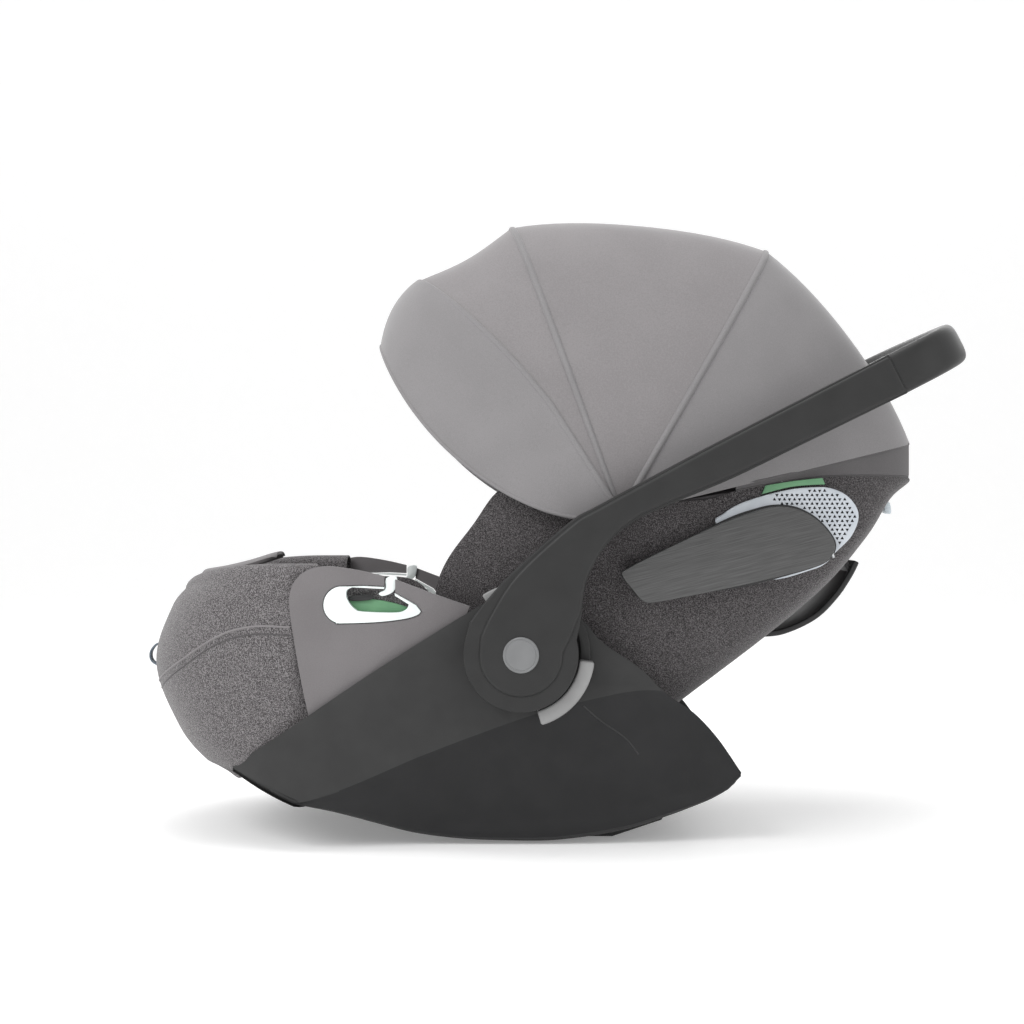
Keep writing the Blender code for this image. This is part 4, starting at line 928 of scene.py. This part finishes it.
def panelRows(high, low, halfHigh, halfLow, sag, columns):
    rows = []
    for k in range(canopy["across"] + 1):
        t = archStep(k, canopy["first"])
        top, bottom = high(t), low(t)
        row = []
        for j in range(columns + 1):
            f = j / columns
            slack = 1 - sag * sin(pi * f) * sin(t) - 0.0035 * sin(pi * f) * (0.5 + 0.5 * cos(14 * t)) * sin(t)
            theta = top + (bottom - top) * f
            row.append(archPoint(theta, t, canopy["radius"] * slack, halfHigh + (halfLow - halfHigh) * f))
        rows.append(row)
    return rows


def canopySheet(name, rows, material, cad):
    item = wall(gridObject(name, rows, material), canopy["thickness"], 0)
    done(item, None, [cad], 70)
    return item


halfs = {key: canopy[key + "Half"] for key in ("front", "middle", "rear")}
frontRows = panelRows(frontTheta, lambda t: canopy["middle"], halfs["front"], halfs["middle"],
                      canopy["sag"], 10)
frontPanel = canopySheet("canopyFrontPanel", frontRows, innerCloth, "canopy_front_panel")
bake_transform(frontPanel)
middleRows = panelRows(lambda t: canopy["middle"], lambda t: canopy["rear"], halfs["middle"], halfs["rear"],
                       canopy["middleSag"], 18)
middlePanel = canopySheet("canopyMiddlePanel", middleRows, innerCloth, "canopy_middle_panel")
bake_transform(middlePanel)
rearRows = panelRows(lambda t: canopy["rear"], lambda t: band["angle"], halfs["rear"], halfs["rear"] - 0.001,
                     canopy["sag"], 18)
rearPanel = canopySheet("canopyRearPanel", rearRows, canopyCloth, "canopy_rear_panel")
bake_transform(rearPanel)

visorRows = []
for k in range(canopy["across"] + 1):
    t = archStep(k, canopy["visorFirst"])
    share = sin(t) ** 0.55
    reach = radians(13.6 + 38 * (1 - share) + 16 * (1 - share) ** 5)
    seamAt = frontTheta(t)
    rimAt = canopy["front"] + reach
    row = []
    for j in range(15):
        f = j / 14
        crown = 1 + 0.010 * sin(pi * f) * share
        radius = canopy["radius"] * (1.004 - 0.059 * f**1.5) * crown
        row.append(archPoint(seamAt + (rimAt - seamAt) * f, t, radius, halfs["front"] + 0.0012))
    visorRows.append(row)
visor = wall(gridObject("canopyVisor", visorRows, canopyCloth), 0.0018, 0)
done(visor, "canopy_front", ["canopy_visor"], 70)
hemLine = [row[-1] for row in visorRows]
done(tube("visorHem", hemLine, canopy["hem"], canopyCloth), "canopy_front")


def hoop(key, thetaAt):
    steps = [archStep(k, canopy["hoopFirst"]) for k in range(canopy["across"] + 1)]
    line = [archPoint(thetaAt(t), t, canopy["radius"] - 0.001, halfs[key]) for t in steps]
    done(tube(key + "Hoop", line, canopy["piping"], canopyCloth), "canopy_" + key,
         ["canopy_" + key + "_bow"])


hoop("front", frontTheta)
hoop("middle", lambda t: canopy["middle"])
hoop("rear", lambda t: canopy["rear"])
pivotPlace = (canopyPivot.x, canopyPivot.z)
eyeOutlines = [arc(pivotPlace, 0.0115, 0, 350, 35), arc(pivotPlace, 0.0047, 0, 345, 23)]
for side, word in sides:
    nodes[word + "_canopy_pivot"].data.materials[0] = blackAbs
    for key in ("front", "middle", "rear"):
        depths = (halfs[key] - 0.0022, halfs[key] + 0.0022)
        sidePiece(word + key.capitalize() + "HoopEye", eyeOutlines, depths, side, blackAbs, (0.0008, 2),
                  "canopy_" + key)
print("canopy ready")

# side flaps and vent grilles
flapShape = {
    "corners": [(0.0960, 0.2420), (0.1010, 0.2485), (0.1400, 0.2680), (0.1789, 0.2862), (0.2100, 0.2975),
                (0.2280, 0.3020), (0.2467, 0.3006), (0.2640, 0.2920), (0.2773, 0.2782), (0.2815, 0.2670),
                (0.2765, 0.2568), (0.2628, 0.2495), (0.2257, 0.2396), (0.1750, 0.2283), (0.1257, 0.2188),
                (0.1140, 0.2200), (0.1063, 0.2282)],
    "grille": [(0.1789, 0.2868), (0.1854, 0.2960), (0.1983, 0.3041), (0.2192, 0.3114), (0.2435, 0.3172),
               (0.2628, 0.3192), (0.2789, 0.3186), (0.2935, 0.3121), (0.3025, 0.3009), (0.3035, 0.2896),
               (0.2967, 0.2750), (0.2838, 0.2621), (0.2757, 0.2530), (0.2628, 0.2468), (0.2257, 0.2385),
               (0.2100, 0.2600)],
    "thickness": 0.009, "rise": 0.0065, "edge": 0.0030, "bedGap": 0.0024, "holePitch": 0.0044,
    "holeSize": 0.0018,
}
flapOutline = smoothPath(flapShape["corners"], 5, True)
grilleOutline = smoothPath(flapShape["grille"], 5, True)


def inside(point, outline):
    found = False
    for a, b in zip(outline, outline[1:] + outline[:1]):
        if (a[1] > point[1]) != (b[1] > point[1]):
            if point[0] < (b[0] - a[0]) * (point[1] - a[1]) / (b[1] - a[1]) + a[0]:
                found = not found
    return found


def nearest(point, outline):
    return min((Vector((p[0], p[1])) - Vector(point)).length for p in outline)


holes = []
pitch = flapShape["holePitch"]
for j in range(30):
    for k in range(40):
        place = (0.2300 + pitch * (k + 0.5 * (j % 2)), 0.2480 + pitch * 0.86 * j)
        onPlate = inside(place, grilleOutline) and nearest(place, grilleOutline) > 0.0032
        if onPlate and not inside(place, flapOutline) and nearest(place, flapOutline) > 0.0026:
            holes.append((place, (j + k) % 2))
print(len(holes), "vent holes a side")


def holePunch(side, near, far):
    bm = bmesh.new()
    for (x, z), turn in holes:
        corners = arc((x, z), flapShape["holeSize"], 90 + 180 * turn, 330 + 180 * turn, 2)
        ends = [[bm.verts.new((corner[0], side * y, corner[1])) for corner in corners] for y in (near, far)]
        for m in range(3):
            n = (m + 1) % 3
            bm.faces.new((ends[0][m], ends[0][n], ends[1][n], ends[1][m]))
        bm.faces.new(ends[0])
        bm.faces.new(ends[1])
    return cleanObject("punch", bm, blackAbs, 0.000001)


flapMiddle = Vector((0.2, 0.262))
bedOutline = [p + (p - flapMiddle).normalized() * flapShape["bedGap"] * min(max((p.x - 0.16) / 0.04, 0), 1)
              for p in flapOutline]
mark = smoothPath([(0.2192, 0.3130), (0.2435, 0.3192), (0.2640, 0.3212), (0.2749, 0.3216)], 4)
mark += smoothPath([(0.2725, 0.3275), (0.2475, 0.3248), (0.2225, 0.3208)], 4)
near = coverOutside + flapShape["rise"]
base = coverOutside + 0.0006
for side, word in sides:
    sidePiece(word + "SideFlap", [flapOutline], (near, near + flapShape["thickness"]), side, flapFilm,
              (flapShape["edge"], 5, 40), word + "_flap", [word + "_side_flap"], 50)
    sidePiece(word + "FlapBed", [bedOutline], (coverOutside + 0.0030, near + 0.0010), side, blackAbs,
              (0.0006, 2), "backrest")
    grille = sidePlate(word + "VentGrille", [grilleOutline], base, base + 0.0042, side, silverAbs)
    bake(soften(grille, 0.0014))
    grille.data.materials.append(blackAbs)
    cut(grille, holePunch(side, base + 0.0008, base + 0.006), material_mode="TRANSFER")
    done(grille, "backrest", [word + "_vent_grille"], 30)
    sidePiece(word + "BeltMark", [mark], (base, base + 0.0022), side, greenAbs,
              (0.0007, 2), "backrest", [word + "_belt_mark"])
print("side flaps and grilles ready")

# shoulder-belt guide and rear tab
hookLine = smoothPath([(0.2325, 0.1822), (0.2560, 0.1850), (0.2850, 0.1985), (0.3050, 0.2180),
                       (0.3185, 0.2380), (0.3250, 0.2510)], 6)
hookPiece = plate("shoulderBeltGuide", [strip(hookLine, 0.0055)], 0.110, upright(), blackAbs)
done(soften(hookPiece, 0.0022, 4, 30), "backrest", ["shoulder_belt_guide"])
linkOutline = strip([(0.3135, 0.2530), (0.3200, 0.2415)], 0.0045)
linkPiece = plate("beltGuideLink", [linkOutline], 0.100, upright(), blackAbs)
done(soften(linkPiece, 0.0010, 2), "backrest")
tabOutline = smoothPath([(0.3600, 0.2985), (0.3660, 0.2960), (0.3650, 0.3060), (0.3610, 0.3070)], 3, True)
tabPiece = plate("rearTab", [tabOutline], 0.022, upright(), tabCloth)
done(soften(tabPiece, 0.0008, 2), "backrest", ["rear_tab"])

# handle
handle = {"rise": radians(27), "end": Vector((0.3315, 0, 0.4163)), "reach": 0.074, "height": 0.037,
          "radius": 0.0495, "edge": 0.0058, "start": 0.0015, "faceRadius": 0.0365, "faceRise": 0.0022}


def armCorner(sign):
    return (handle["end"].x - sign * sin(handle["rise"]) * handle["height"] / 2,
            handle["end"].z + sign * cos(handle["rise"]) * handle["height"] / 2)


armOutline = [Vector(p) for p in arc((hub.x, hub.z), handle["radius"], 15, -195, 46)]
armOutline += smoothPath([(-0.0365, 0.2020), (-0.0220, 0.2210), (0.0026, 0.2474), (0.0501, 0.2890),
                          (0.0760, 0.3040), (0.1623, 0.3500), (0.2487, 0.3945), armCorner(1)], 6)
armOutline += smoothPath([armCorner(-1), (0.2502, 0.3560), (0.1894, 0.3265), (0.1286, 0.3010),
                          (0.1025, 0.2880), (0.0810, 0.2690), (0.0640, 0.2400), (0.0600, 0.2100)], 6)
spindleHole = arc((hub.x, hub.z), 0.0064, 0, 350, 35)
bossOutline = [Vector(p) for p in arc((hub.x, hub.z), handle["faceRadius"], 2, -182, 40)]
bossOutline += smoothPath([(-0.0275, 0.1905), (-0.0190, 0.2090), (0.0040, 0.2440), (0.0508, 0.2868),
                           (0.0764, 0.3020), (0.1622, 0.3482), (0.2482, 0.3925), armCorner(0.93)], 5)
bossOutline += smoothPath([armCorner(-0.93), (0.2498, 0.3578), (0.1890, 0.3283), (0.1290, 0.3030),
                           (0.1030, 0.2900), (0.0816, 0.2706), (0.0650, 0.2410), (0.0592, 0.2130),
                           (0.0510, 0.1900)], 5)
discProfile = [(0.0, 0.0022), (0.0125, 0.0022), (0.0130, 0.0018), (0.0136, 0.0018), (0.0141, 0.0022),
               (0.0148, 0.0021), (0.0155, 0.0014), (0.0155, 0.0)]
for side, word in sides:
    sidePiece(word + "HandleArm", [armOutline, spindleHole], (armInside, armOutside), side, armAbs,
              (handle["edge"], 6, 50), "handle", [word + "_handle_arm"], 50)
    sidePiece(word + "HubFace", [bossOutline], (armOutside - 0.005, armOutside + handle["faceRise"]), side,
              armAbs, (0.0034, 6), "handle", (), 60)
    rows = []
    for radius, height in discProfile:
        rows.append([Vector((hub.x + radius * cos(2 * pi * m / 64), side * (armOutside + 0.0019 + height),
                             hub.z + radius * sin(2 * pi * m / 64))) for m in range(64)])
    disc = gridObject(word + "HubDisc", rows, discAbs, True)
    done(disc, "handle", [word + "_hub_cap"], 30)

run = Vector((cos(handle["rise"]), 0, sin(handle["rise"])))
rise = Vector((-sin(handle["rise"]), 0, cos(handle["rise"])))
middleY = 0.5 * (armInside + armOutside)
stations = [(-0.004, middleY), (handle["start"], middleY)]
for k in range(1, 41):
    a = k / 40 * pi / 2
    stations.append((handle["start"] + 0.004 + (handle["reach"] - 0.004) * sin(a) ** 0.8,
                     middleY * max(cos(a), 0) ** 0.55))
stations[-1] = (stations[-1][0], 0)
rings = []
for i, (reach, y) in enumerate(stations):
    before = stations[max(i - 1, 0)]
    after = stations[i + 1] if i + 1 < len(stations) else (reach, -stations[i - 1][1])
    tangent = Vector((after[0] - before[0], after[1] - before[1])).normalized()
    if y == 0:
        tangent = Vector((0, -1))
    across = Vector((tangent.y, -tangent.x))
    ringPoints = []
    for m in range(36):
        c, s = cos(2 * pi * m / 36), sin(2 * pi * m / 36)
        p = 0.011 * (1 if c > 0 else -1) * abs(c) ** 0.62
        q = handle["height"] / 2 * (1 if s > 0 else -1) * abs(s) ** 0.55
        ringPoints.append(handle["end"] + run * (reach + across.x * p) + Vector((0, -y - across.y * p, 0))
                          + rise * q)
    rings.append(ringPoints)
rings += [[Vector((p.x, -p.y, p.z)) for p in ringPoints] for ringPoints in rings[-2::-1]]
grip = gridObject("handleGrip", rings, armAbs, True)
done(grip, "handle", ["handle_grip"], 60)

# release buttons
near, far = hullOutside + 0.0042, armInside - 0.0006
buttonParts = [("ReleaseButton", (0.0560, -74, 105, 60), 0.0090, (near, far), armAbs, (0.0012, 3, 30)),
               ("ButtonTip", (0.0560, 106, 124, 10), 0.0090, (near, far), greyAbs, (0.0014, 3, 30)),
               ("ThumbPad", (0.0572, -74, -6, 30), 0.0130, (near + 0.001, armOutside - 0.0065), greyAbs,
                (0.0028, 4, 30))]
for side, word in sides:
    for name, turn, wide, depths, material, edge in buttonParts:
        stands = [word + "_release_button"] if name == "ReleaseButton" else ()
        sidePiece(word + name, [strip(arc((hub.x, hub.z), *turn), wide)], depths, side, material, edge,
                  word + "_release", stands)
print("handle ready")
